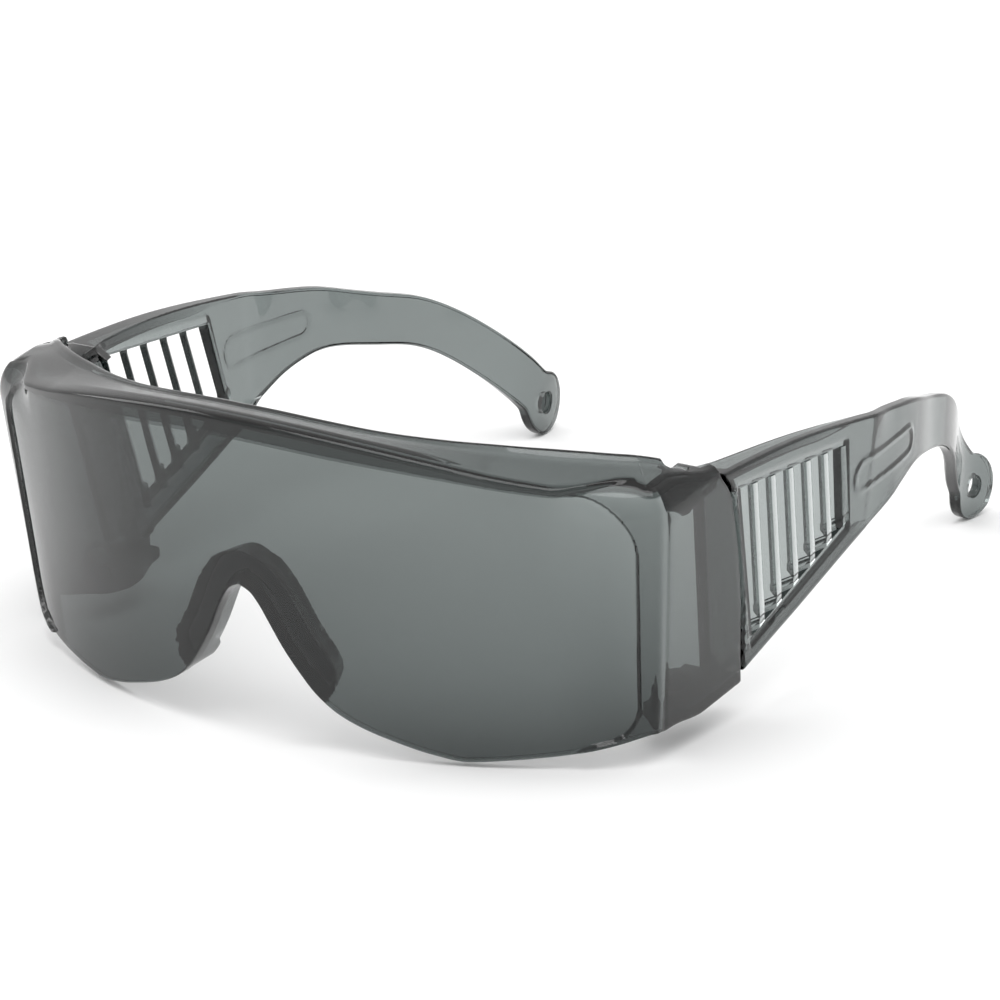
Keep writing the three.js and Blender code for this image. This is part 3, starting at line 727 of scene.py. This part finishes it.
def build_front():
    columns = front_columns()
    half_outer, half_inner = [], []
    for column in columns:
        outer, inner = front_section(column)
        kind, value = column
        if kind == "side":
            outer, inner = soften_end(outer, inner, (1 - value) * SIDE_WALL_RUN, END_ROUND)
        half_outer.append(outer)
        half_inner.append(inner)
    outer = both_halves(half_outer)
    points, faces = paired_sweep(outer, both_halves(half_inner))
    piece = new_piece("front_moulding", [to_world(*p) for p in points], faces)
    mark_window(piece, columns, outer)
    mark_brow_shade(piece, len(outer[0]))
    bore(piece, joined([pin_holes(1), pin_holes(-1)]))
    return piece


# ---------- temples: one moulding each, drawn for the left side ----------
top_edge = curve_through(TOP_EDGE)
bottom_edge = curve_through(BOTTOM_EDGE)
top_flange = curve_through(TOP_FLANGE)
bottom_flange = curve_through(BOTTOM_FLANGE)
column_rake = curve_through(COLUMN_RAKE)
arm_x = eased(curve_through(ARM_X), ARM_EASE)
arm_z = eased(curve_through(ARM_Z), ARM_EASE)
arm_half = eased(curve_through(ARM_HALF), ARM_EASE)


def front_coordinates(y, z):
    """v and w of the front's frame at a point of the temple."""
    back = y - FRONT_Y
    return back * math.cos(TILT) + z * math.sin(TILT), z * math.cos(TILT) - back * math.sin(TILT)


def window_bottom(y):
    at_y, z, slope = WINDOW_SILL
    return z + slope * (y - at_y)


def window_top(y):
    at_y, z, slope = WINDOW_HEAD
    return z + slope * (y - at_y)


def column_y(column, z):
    """y of a raked column at height z; column is its y at COLUMN_LEVEL."""
    return column - column_rake(min(column, ARM_START)) * (z - COLUMN_LEVEL)


def level_on_column(column, height, start):
    """Where a slanted column meets a line whose height depends on y."""
    z = start
    for _ in range(20):
        z = height(column_y(column, z))
    return z


def panel_top(y):
    """Height of the panel's top edge, lower in front where the lip fits under the shelf."""
    z = top_edge(y)
    v, w = front_coordinates(y, z)
    return z - max(w - LIP_TOP_W, 0) * (1 - smooth(v, LIP_TOP_V, LIP_TOP_V + LIP_BLEND))


def panel_bottom(y):
    """Height of the panel's bottom edge, higher in front where the lip fits over the ledge."""
    z = bottom_edge(y)
    v, w = front_coordinates(y, z)
    return z + max(LIP_BOTTOM_W - w, 0) * (1 - smooth(v, LIP_BOTTOM_V, LIP_BOTTOM_V + LIP_BLEND))


def lip_jog(y, z, start):
    """Inward step of the lip that runs inside the side shield; start is its distance behind the shield."""
    v, w = front_coordinates(y, z)
    return LIP_JOG * (1 - smooth(v - shield_rear(w), start, start + 1.0))


def grip_outline(y, z):
    """Raised line of the long rounded outline moulded on the outer face, which narrows rearwards."""
    centre = 35 + 0.04 * (y - 3)
    half = 3 - 0.024 * (y - 3)
    beyond = max(GRIP_START - y, y - GRIP_END, 0)
    distance = math.hypot(beyond, z - centre) - half
    return GRIP_HEIGHT * (1 - smooth(abs(distance), 0.15, 0.75))


def arm_frame(y):
    """Centre line point, outward and upward directions of the arm."""
    step = 0.5
    rise_x = arm_x(y + step) - arm_x(y - step)
    rise_z = arm_z(y + step) - arm_z(y - step)
    tangent = Vector((rise_x, 2 * step, rise_z)).normalized()
    outward = Vector((tangent.y, -tangent.x, 0)).normalized()
    upward = outward.cross(tangent).normalized()
    share = smooth(y, ARM_START, ARM_FULL_Y)
    upward = Vector((TEMPLE_LEAN, 0, 1)).lerp(upward, share)
    outward = Vector((1, 0, 0)).lerp(outward, share)
    return Vector((arm_x(y), y, arm_z(y))), outward, upward


def arm_half_height(y):
    """Half the strip's height, swelling into the round tip."""
    strip = arm_half(y)
    along = (y - TIP_Y) / TIP_RUN
    if along <= -TIP_RADIUS:
        return strip
    disc = math.sqrt(max(TIP_RADIUS ** 2 - along * along, 0.01))
    if along > 0:
        return disc
    return 0.5 * (strip + disc + math.hypot(strip - disc, 0.5))


def temple_columns():
    """Column positions from the front edge to the round tip."""
    body = stations((TEMPLE_FRONT_Y, WINDOW_FRONT_Y, 0.35), (WINDOW_FRONT_Y, WINDOW_REAR_Y, 0.9),
                    (WINDOW_REAR_Y, 31, 0.6), (31, 84, 1.0))
    tip = [TIP_Y + TIP_RADIUS * TIP_RUN * math.sin(math.radians(a)) for a in range(-29, 90, 4)]
    return list(body) + tip


def section_rows(depths, shares, rounding):
    """Rows of one section as (inward, share of height, extra height), outer and inner.

    depths holds the bottom flange, wall and top flange depths; shares the window's bottom and top.
    """
    bottom_depth, wall, top_depth = depths
    low, high = shares
    bottom_thick = rounding + (FLANGE_THICK - rounding) * smooth(bottom_depth - wall, 0, 1)
    top_thick = rounding + (FLANGE_THICK - rounding) * smooth(top_depth - wall, 0, 1)
    nib = min(0.3, 0.5 * rounding)
    outer = [(bottom_depth, 0, nib)]
    inner = [(bottom_depth, 0, bottom_thick - 0.5 * nib)]
    for k in range(FLANGE_ROWS):
        t = k / FLANGE_ROWS
        outer.append((bottom_depth - nib + (rounding - bottom_depth + nib) * t, 0, 0))
        inner.append((bottom_depth - nib + (wall - bottom_depth + nib) * t, 0, bottom_thick))
    for k in range(ROUND_ROWS):
        a = math.pi / 2 * k / ROUND_ROWS
        outer.append((rounding * (1 - math.sin(a)), 0, rounding * (1 - math.cos(a))))
        inner.append((wall, 0, bottom_thick + 0.03 * k))
    for k in range(BOTTOM_ROWS):
        t = k / BOTTOM_ROWS
        outer.append((0, low * t, rounding * (1 - t)))
        inner.append((wall, low * t, (bottom_thick + 0.15) * (1 - t)))
    for k in range(WINDOW_ROWS):
        share = low + (high - low) * k / WINDOW_ROWS
        outer.append((0, share, 0))
        inner.append((wall, share, 0))
    for k in range(TOP_ROWS):
        t = k / TOP_ROWS
        outer.append((0, high + (1 - high) * t, -rounding * t))
        inner.append((wall, high + (1 - high) * t, -(top_thick + 0.15) * t))
    for k in range(ROUND_ROWS):
        a = math.pi / 2 * k / ROUND_ROWS
        outer.append((rounding * (1 - math.cos(a)), 1, -rounding * (1 - math.sin(a))))
        inner.append((wall, 1, -top_thick - 0.03 * (ROUND_ROWS - k)))
    for k in range(FLANGE_ROWS + 1):
        t = k / FLANGE_ROWS
        outer.append((rounding + (top_depth - nib - rounding) * t, 1, 0))
        inner.append((wall + (top_depth - nib - wall) * t, 1, -top_thick))
    outer.append((top_depth, 1, -nib))
    inner.append((top_depth, 1, -top_thick + 0.5 * nib))
    return outer, inner


def panel_section(column):
    """Outer and inner points of one raked column of the panel, with its lip, recess and outline."""
    low = level_on_column(column, panel_bottom, 15.0)
    high = level_on_column(column, panel_top, 48.0)
    window_low = level_on_column(column, window_bottom, 20.0)
    window_high = level_on_column(column, window_top, 44.0)
    shares = ((window_low - low) / (high - low), (window_high - low) / (high - low))
    v_top = front_coordinates(column_y(column, high), high)[0]
    v_bottom = front_coordinates(column_y(column, low), low)[0]
    top_depth = TEMPLE_WALL + (top_flange(column) - TEMPLE_WALL) * smooth(v_top, LIP_TOP_V, LIP_TOP_V + 1)
    behind_lip = smooth(v_bottom, LIP_BOTTOM_V, LIP_BOTTOM_V + 1)
    bottom_depth = TEMPLE_WALL + (bottom_flange(column) - TEMPLE_WALL) * behind_lip
    outer, inner = section_rows((bottom_depth, TEMPLE_WALL, top_depth), shares, EDGE_ROUND)

    def place(inward, share, extra, start):
        z = low + share * (high - low) + extra
        y = column_y(column, z)
        x = TEMPLE_X + TEMPLE_LEAN * (z - TEMPLE_LEAN_LEVEL) - inward - lip_jog(y, z, start)
        if inward < 0.01 and 0 < share < 1:
            outside = max(WINDOW_FRONT_Y - column, column - WINDOW_REAR_Y, window_low - z, z - window_high)
            x += grip_outline(y, z) - FRAME_STEP * (1 - smooth(outside, *FRAME_STEP_GAP))
        return x, y, z

    return [place(*row, LIP_OUTER_GAP) for row in outer], [place(*row, LIP_INNER_GAP) for row in inner]


def arm_section(y):
    """Outer and inner points of one upright column of the arm or the round tip."""
    centre, outward, upward = arm_frame(y)
    half = arm_half_height(y)
    rounding = min(EDGE_ROUND, 0.45 * half)
    bottom_depth = max(bottom_flange(y), ARM_THICK)
    wall = TEMPLE_WALL + (ARM_THICK - TEMPLE_WALL) * smooth(y, ARM_START, ARM_FULL_Y)
    outer, inner = section_rows((max(bottom_depth, wall), wall, wall), ARM_SHARES, rounding)

    def place(inward, share, extra):
        rise = half * (2 * share - 1) + extra
        point = centre + upward * rise - outward * inward
        if inward < 0.01:
            point += outward * grip_outline(point.y, point.z)
        return tuple(point)

    return [place(*row) for row in outer], [place(*row) for row in inner]


def temple_body():
    """The panel, arm and round tip as one closed body with the louvre window cut through."""
    outer_grid, inner_grid = [], []
    columns = temple_columns()
    for column in columns:
        outer, inner = panel_section(column) if column <= ARM_START else arm_section(column)
        outer, inner = soften_end(outer, inner, column - columns[0], END_ROUND)
        outer_grid.append(outer)
        inner_grid.append(inner)
    first = int(np.argmin([abs(c - WINDOW_FRONT_Y) for c in columns]))
    last = int(np.argmin([abs(c - WINDOW_REAR_Y) for c in columns]))
    window = (first, last, FIRST_WINDOW_ROW, FIRST_WINDOW_ROW + WINDOW_ROWS)
    return paired_sweep(outer_grid, inner_grid, window)


def pin_ring(w, radius, count=40):
    """Points of a circle round the hinge's axis at height w."""
    angles = [2 * math.pi / count * k for k in range(count)]
    return [to_world(PIN_X + radius * math.cos(a), PIN_V + radius * math.sin(a), w) for a in angles]


def tongue(top_w, rear_v):
    """Flat hinge tongue, rounded round the pin, with softened edges."""
    nose = [(PIN_X - TONGUE_NOSE_R * math.cos(a), PIN_V - TONGUE_NOSE_R * math.sin(a))
            for a in np.linspace(0, math.pi, 25)]
    outline = nose + [(PIN_X + TONGUE_NOSE_R, rear_v - TONGUE_CORNER),
                      (PIN_X + TONGUE_NOSE_R - TONGUE_CORNER, rear_v), (PIN_X - TONGUE_NOSE_R, rear_v)]
    soft = TONGUE_SOFT
    base_w = top_w - TONGUE_THICK
    levels = [(soft, base_w), (0.3 * soft, base_w + 0.3 * soft), (0, base_w + soft),
              (0, top_w - soft), (0.3 * soft, top_w - 0.3 * soft), (soft, top_w)]
    loops = []
    for inset, w in levels:
        shrink = 1 - inset / TONGUE_NOSE_R
        loops.append([to_world(PIN_X + (x - PIN_X) * shrink, PIN_V + (v - PIN_V) * shrink, w)
                      for x, v in outline])
    return stacked_loops(loops)


def louvre(index):
    """One slanted blade of the vent, with a thicker foot on the window's sill."""
    middle = LOUVRE_FIRST_Y + LOUVRE_PITCH * index
    half = LOUVRE_CHORD / 2

    def corner(s, t):
        """Inward offset and y of the section's point at s along the chord and t across it."""
        across = LOUVRE_THICK * t / 2
        inward = -0.7 * TEMPLE_WALL + math.sin(LOUVRE_ANGLE) * half * s + math.cos(LOUVRE_ANGLE) * across
        return min(inward, -0.2), middle + math.cos(LOUVRE_ANGLE) * half * s - math.sin(LOUVRE_ANGLE) * across

    def meet(y, height):
        z = LOUVRE_LEVEL
        for _ in range(20):
            z = height(y - LOUVRE_RAKE * (z - LOUVRE_LEVEL))
        return z

    # rise over the sill, share of the window's height and swell of the foot
    levels = [(LOUVRE_GAP, 0, LOUVRE_FOOT_SWELL), (LOUVRE_FOOT, 0, LOUVRE_FOOT_SWELL),
              (LOUVRE_FOOT + 0.5, 0, 1), (0, 0.3, 1), (0, 0.65, 1), (-LOUVRE_GAP, 1, 1)]
    loops = []
    for rise, share, swell in levels:
        loop = []
        for s, t in LOUVRE_SECTION:
            inward, y = corner(s, t * swell)
            low = meet(y, window_bottom)
            high = meet(y, window_top)
            z = low + (high - low) * share + rise
            x = TEMPLE_X + TEMPLE_LEAN * (z - TEMPLE_LEAN_LEVEL) + inward
            loop.append((x, y - LOUVRE_RAKE * (z - LOUVRE_LEVEL), z))
        loops.append(loop)
    return stacked_loops(loops)


def bore(obj, body):
    """Cuts a closed body away from an object, leaving a clean bored edge."""
    cutter = bpy.data.objects.new("cutter", new_mesh("cutter", *body))
    bpy.context.scene.collection.objects.link(cutter)
    cut = obj.modifiers.new("bore", "BOOLEAN")
    cut.operation = "DIFFERENCE"
    cut.solver = "EXACT"
    cut.object = cutter
    done = bpy.data.meshes.new_from_object(obj.evaluated_get(bpy.context.evaluated_depsgraph_get()))
    obj.modifiers.clear()
    obj.data = done
    bpy.data.objects.remove(cutter)
    finish_shading(obj, CRISP_DEG)


def cord_hole():
    """The bore through the round tip, flared at both rims."""
    wide = TIP_HOLE_R + HOLE_FLARE + HOLE_RIM
    levels = [(-ARM_THICK - 1, wide), (-ARM_THICK + HOLE_RIM, TIP_HOLE_R), (-HOLE_RIM, TIP_HOLE_R), (1, wide)]
    count = 48
    loops = []
    for depth, radius in levels:
        loop = []
        for k in range(count):
            a = 2 * math.pi * k / count
            along = radius * math.cos(a)
            loop.append((TIP_X + depth * math.cos(TIP_FLARE) + along * math.sin(TIP_FLARE),
                         TIP_Y - depth * math.sin(TIP_FLARE) + along * math.cos(TIP_FLARE),
                         TIP_Z + radius * math.sin(a)))
        loops.append(loop)
    return stacked_loops(loops)


def build_temple(side, label):
    """The temple's three pieces: the moulding, its pair of hinge tongues and its six louvres."""
    moulding = new_piece(f"{label}_temple_moulding", *on_side(temple_body(), side))
    bore(moulding, on_side(cord_hole(), side))
    hinge = joined([tongue(UPPER_TONGUE_TOP, TONGUE_REAR_V),
                    tongue(LOWER_TONGUE_TOP, TONGUE_REAR_V + LOWER_TONGUE_EXTRA_V)])
    tongues = new_piece(f"{label}_hinge_tongues", *on_side(hinge, side))
    vent = joined([louvre(i) for i in range(LOUVRE_COUNT)])
    louvres = new_piece(f"{label}_vent_louvres", *on_side(vent, side), crisp_deg=LOUVRE_CRISP_DEG)
    return moulding, tongues, louvres


# ---------- hinge pins ----------
def dome(radius, base_w, height, steps=8):
    """Quarter-round stations from the rim at base_w out to the crown."""
    angles = [math.pi / 2 * k / steps for k in range(steps + 1)]
    return [(max(radius * math.cos(a), 0.02), base_w + height * math.sin(a)) for a in angles]


def pin_body(direction, foot_end, foot_top, head_base, head_end):
    """Turned pin with rounded foot, shaft and domed head; direction +1 has its head uppermost."""
    foot = dome(PIN_FOOT_R, foot_end + direction * PIN_FOOT_ROUND, -direction * PIN_FOOT_ROUND)[::-1]
    middle = [(PIN_FOOT_R, foot_top - direction * 0.15), (PIN_FOOT_R - 0.15, foot_top),
              (PIN_SHAFT_R, foot_top), (PIN_SHAFT_R, head_base),
              (PIN_HEAD_R - 0.1, head_base), (PIN_HEAD_R, head_base + direction * 0.1)]
    head = dome(PIN_HEAD_R, head_end - direction * PIN_HEAD_ROUND, direction * PIN_HEAD_ROUND)
    levels = foot + middle + head
    return stacked_loops([pin_ring(w, radius) for radius, w in levels[::direction]])


def pin_holes(side):
    """Room for the two pin heads in the shelf and the ledge."""
    radius = PIN_HEAD_R + PIN_HEAD_GAP
    upper = stacked_loops([pin_ring(w, radius) for w in (UPPER_TONGUE_TOP - 1, TOP_CENTRE)])
    lower = stacked_loops([pin_ring(w, radius) for w in (-4, LOWER_TONGUE_TOP - TONGUE_THICK)])
    return on_side(joined([upper, lower]), side)


def build_pins(side, label):
    """The side's two pins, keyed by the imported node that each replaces."""
    upper = pin_body(1, *UPPER_PIN_W, top_line(PIN_X) - PIN_HEAD_SINK)
    lower = pin_body(-1, *LOWER_PIN_W, LOWER_PIN_END_W)
    return {f"{label}_upper_hinge_pin": new_piece(f"{label}_upper_pin_visual", *on_side(upper, side)),
            f"{label}_lower_hinge_pin": new_piece(f"{label}_lower_pin_visual", *on_side(lower, side))}


# ---------- materials ----------
def node_material(name):
    """An empty node material with a shader: the material, its tree, the shader and the output."""
    material = bpy.data.materials.new(name)
    material.use_nodes = True
    tree = material.node_tree
    tree.nodes.clear()
    output = tree.nodes.new("ShaderNodeOutputMaterial")
    shader = tree.nodes.new("ShaderNodeBsdfPrincipled")
    tree.links.new(shader.outputs["BSDF"], output.inputs["Surface"])
    return material, tree, shader, output


def ramp(tree, source, low, high, start=0.0, end=1.0):
    """Maps a value from start..end to low..high."""
    node = tree.nodes.new("ShaderNodeMapRange")
    node.inputs["From Min"].default_value = start
    node.inputs["From Max"].default_value = end
    node.inputs["To Min"].default_value = low
    node.inputs["To Max"].default_value = high
    tree.links.new(source, node.inputs["Value"])
    return node.outputs["Result"]


def noise(tree, scale, detail):
    place = tree.nodes.new("ShaderNodeTexCoord")
    node = tree.nodes.new("ShaderNodeTexNoise")
    node.inputs["Scale"].default_value = scale
    node.inputs["Detail"].default_value = detail
    tree.links.new(place.outputs["Object"], node.inputs["Vector"])
    return node.outputs["Fac"]


def attribute(tree, name):
    node = tree.nodes.new("ShaderNodeAttribute")
    node.attribute_name = name
    return node.outputs["Fac"]


def blend(tree, factor, first, second):
    """Mixes two colours by a factor; first is a colour or another node's output."""
    node = tree.nodes.new("ShaderNodeMix")
    node.data_type = "RGBA"
    if isinstance(first, tuple):
        node.inputs["A"].default_value = first
    else:
        tree.links.new(first, node.inputs["A"])
    node.inputs["B"].default_value = second
    tree.links.new(factor, node.inputs["Factor"])
    return node.outputs["Result"]


def painted_foot_shade(tree, colour):
    """Painted shade: the colour darkens slightly towards the foot of the lens."""
    place = tree.nodes.new("ShaderNodeTexCoord")
    split = tree.nodes.new("ShaderNodeSeparateXYZ")
    tree.links.new(place.outputs["Object"], split.inputs["Vector"])
    share = ramp(tree, split.outputs["Z"], 1.0, 0.0, LENS_SHADE_Z[0] * MM, LENS_SHADE_Z[1] * MM)
    return blend(tree, share, colour, LENS_FOOT_PAINTED_SHADE)


def painted_edge_line(tree, colour):
    """Painted shade: a dark line painted where the lens window steps into its frame, where the step bends
    light away.
    """
    size = tree.nodes.new("ShaderNodeMath")
    size.operation = "ABSOLUTE"
    tree.links.new(attribute(tree, "window_gap"), size.inputs[0])
    line = ramp(tree, size.outputs["Value"], 1.0, 0.0, *EDGE_LINE_GAP)
    return blend(tree, line, colour, EDGE_LINE_PAINTED_SHADE)


def smoke_polycarbonate(name, density, band=None):
    """Clear smoke-tinted plastic: the tint deepens with thickness, the gloss has faint handling marks.

    band names a mesh attribute that marks where painted shade darkens the moulding; it also switches on the
    painted shade towards the lens's foot and the painted dark line round the lens window.
    """
    material, tree, shader, output = node_material(name)
    shader.inputs["Transmission Weight"].default_value = 1.0
    shader.inputs["IOR"].default_value = 1.49
    colour = blend(tree, noise(tree, 18, 2), SMOKE_LIGHT, SMOKE_DEEP)
    if band:
        # painted shade: darker over the brow and towards the lens's foot
        colour = blend(tree, attribute(tree, band), painted_foot_shade(tree, colour), BROW_PAINTED_SHADE)
        # painted shade: a dark line along the window's outline
        colour = painted_edge_line(tree, colour)
    tree.links.new(colour, shader.inputs["Base Color"])
    tree.links.new(ramp(tree, noise(tree, 90, 4), 0.0, 0.02), shader.inputs["Roughness"])
    bump = tree.nodes.new("ShaderNodeBump")
    bump.inputs["Strength"].default_value = 0.012
    bump.inputs["Distance"].default_value = 0.0002
    tree.links.new(noise(tree, 60, 2), bump.inputs["Height"])
    tree.links.new(bump.outputs["Normal"], shader.inputs["Normal"])
    absorb = tree.nodes.new("ShaderNodeVolumeAbsorption")
    absorb.inputs["Color"].default_value = SMOKE_ABSORPTION
    absorb.inputs["Density"].default_value = density
    tree.links.new(absorb.outputs["Volume"], output.inputs["Volume"])
    return material


def pin_plastic():
    """Nearly black glossy plastic with a fine mottle."""
    material, tree, shader, _ = node_material("hinge_pin_plastic")
    colour = blend(tree, noise(tree, 400, 3), PIN_DARK, PIN_LIGHT)
    tree.links.new(colour, shader.inputs["Base Color"])
    tree.links.new(ramp(tree, noise(tree, 700, 3), 0.12, 0.3), shader.inputs["Roughness"])
    shader.inputs["Coat Weight"].default_value = 0.4
    return material


def floor_material():
    material, tree, shader, _ = node_material("pale_floor")
    colour = blend(tree, noise(tree, 3, 2), FLOOR_DULL, FLOOR_BRIGHT)
    tree.links.new(colour, shader.inputs["Base Color"])
    shader.inputs["Roughness"].default_value = 0.7
    return material


# ---------- camera, floor and light ----------
def add_camera():
    level = math.cos(CAMERA_ELEVATION)
    back = Vector((math.sin(CAMERA_AZIMUTH) * level, -math.cos(CAMERA_AZIMUTH) * level,
                   math.sin(CAMERA_ELEVATION)))
    data = bpy.data.cameras.new("camera")
    data.sensor_width = 36
    data.lens = CAMERA_LENS
    data.shift_x, data.shift_y = CAMERA_SHIFT
    data.clip_start = 0.05
    camera = bpy.data.objects.new("camera", data)
    camera.location = Vector(REST_SHIFT) * MM + back * CAMERA_DISTANCE
    camera.rotation_euler = back.to_track_quat("Z", "Y").to_euler()
    bpy.context.scene.collection.objects.link(camera)
    bpy.context.scene.camera = camera


def add_floor():
    size = FLOOR_HALF
    mesh = bpy.data.meshes.new("floor")
    corners = [(-size, -size, 0), (size, -size, 0), (size, size, 0), (-size, size, 0)]
    mesh.from_pydata(corners, [], [(0, 1, 2, 3)])
    floor = bpy.data.objects.new("floor", mesh)
    floor.location.z = -FLOOR_GAP
    mesh.materials.append(floor_material())
    bpy.context.scene.collection.objects.link(floor)


def add_area(name, location, size, energy):
    """A rectangular light of the given width and height, aimed at the origin."""
    data = bpy.data.lights.new(name, "AREA")
    data.shape = "RECTANGLE"
    data.size, data.size_y = size
    data.energy = energy
    light = bpy.data.objects.new(name, data)
    light.location = location
    light.rotation_euler = (-Vector(location)).to_track_quat("-Z", "Y").to_euler()
    bpy.context.scene.collection.objects.link(light)


def add_lights():
    world = bpy.data.worlds.new("studio")
    world.use_nodes = True
    background = world.node_tree.nodes["Background"]
    background.inputs["Color"].default_value = (1, 1, 1, 1)
    background.inputs["Strength"].default_value = 0.85
    bpy.context.scene.world = world
    add_area("key_light", (0.25, -0.35, 1.3), (1.4, 1.0), 11)
    add_area("fill_light", (-0.9, -0.2, 0.6), (0.5, 0.8), 3)
    bpy.context.scene.view_settings.view_transform = "Standard"


add_camera()
add_floor()
add_lights()

# the front's material carries the painted shade on the brow and lens foot and the painted dark line round the
# window
smoke_front = smoke_polycarbonate("smoke_polycarbonate_front", FRONT_DENSITY, "brow_painted_shade")
smoke = smoke_polycarbonate("smoke_polycarbonate", TEMPLE_DENSITY)
front = build_front()
front.data.materials.clear()
front.data.materials.append(smoke_front)
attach(front, "front")
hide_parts("lens", "brow_guard", "nose_saddle", "left_side_shield", "right_side_shield")

pin_material = pin_plastic()
for side, label in ((1, "left"), (-1, "right")):
    moulding, tongues, louvres = build_temple(side, label)
    for piece in (moulding, tongues, louvres):
        piece.data.materials.clear()
        piece.data.materials.append(smoke)
        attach(piece, f"{label}_temple")
    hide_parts(f"{label}_temple_panel", f"{label}_temple_arm", f"{label}_ear_piece")
    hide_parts(f"{label}_upper_hinge_tongue", f"{label}_lower_hinge_tongue")
    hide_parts(*[f"{label}_louvre_{i + 1}" for i in range(LOUVRE_COUNT)])
    for node, pin in build_pins(side, label).items():
        pin.data.materials.append(pin_material)
        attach(pin, "front")
        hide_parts(node)
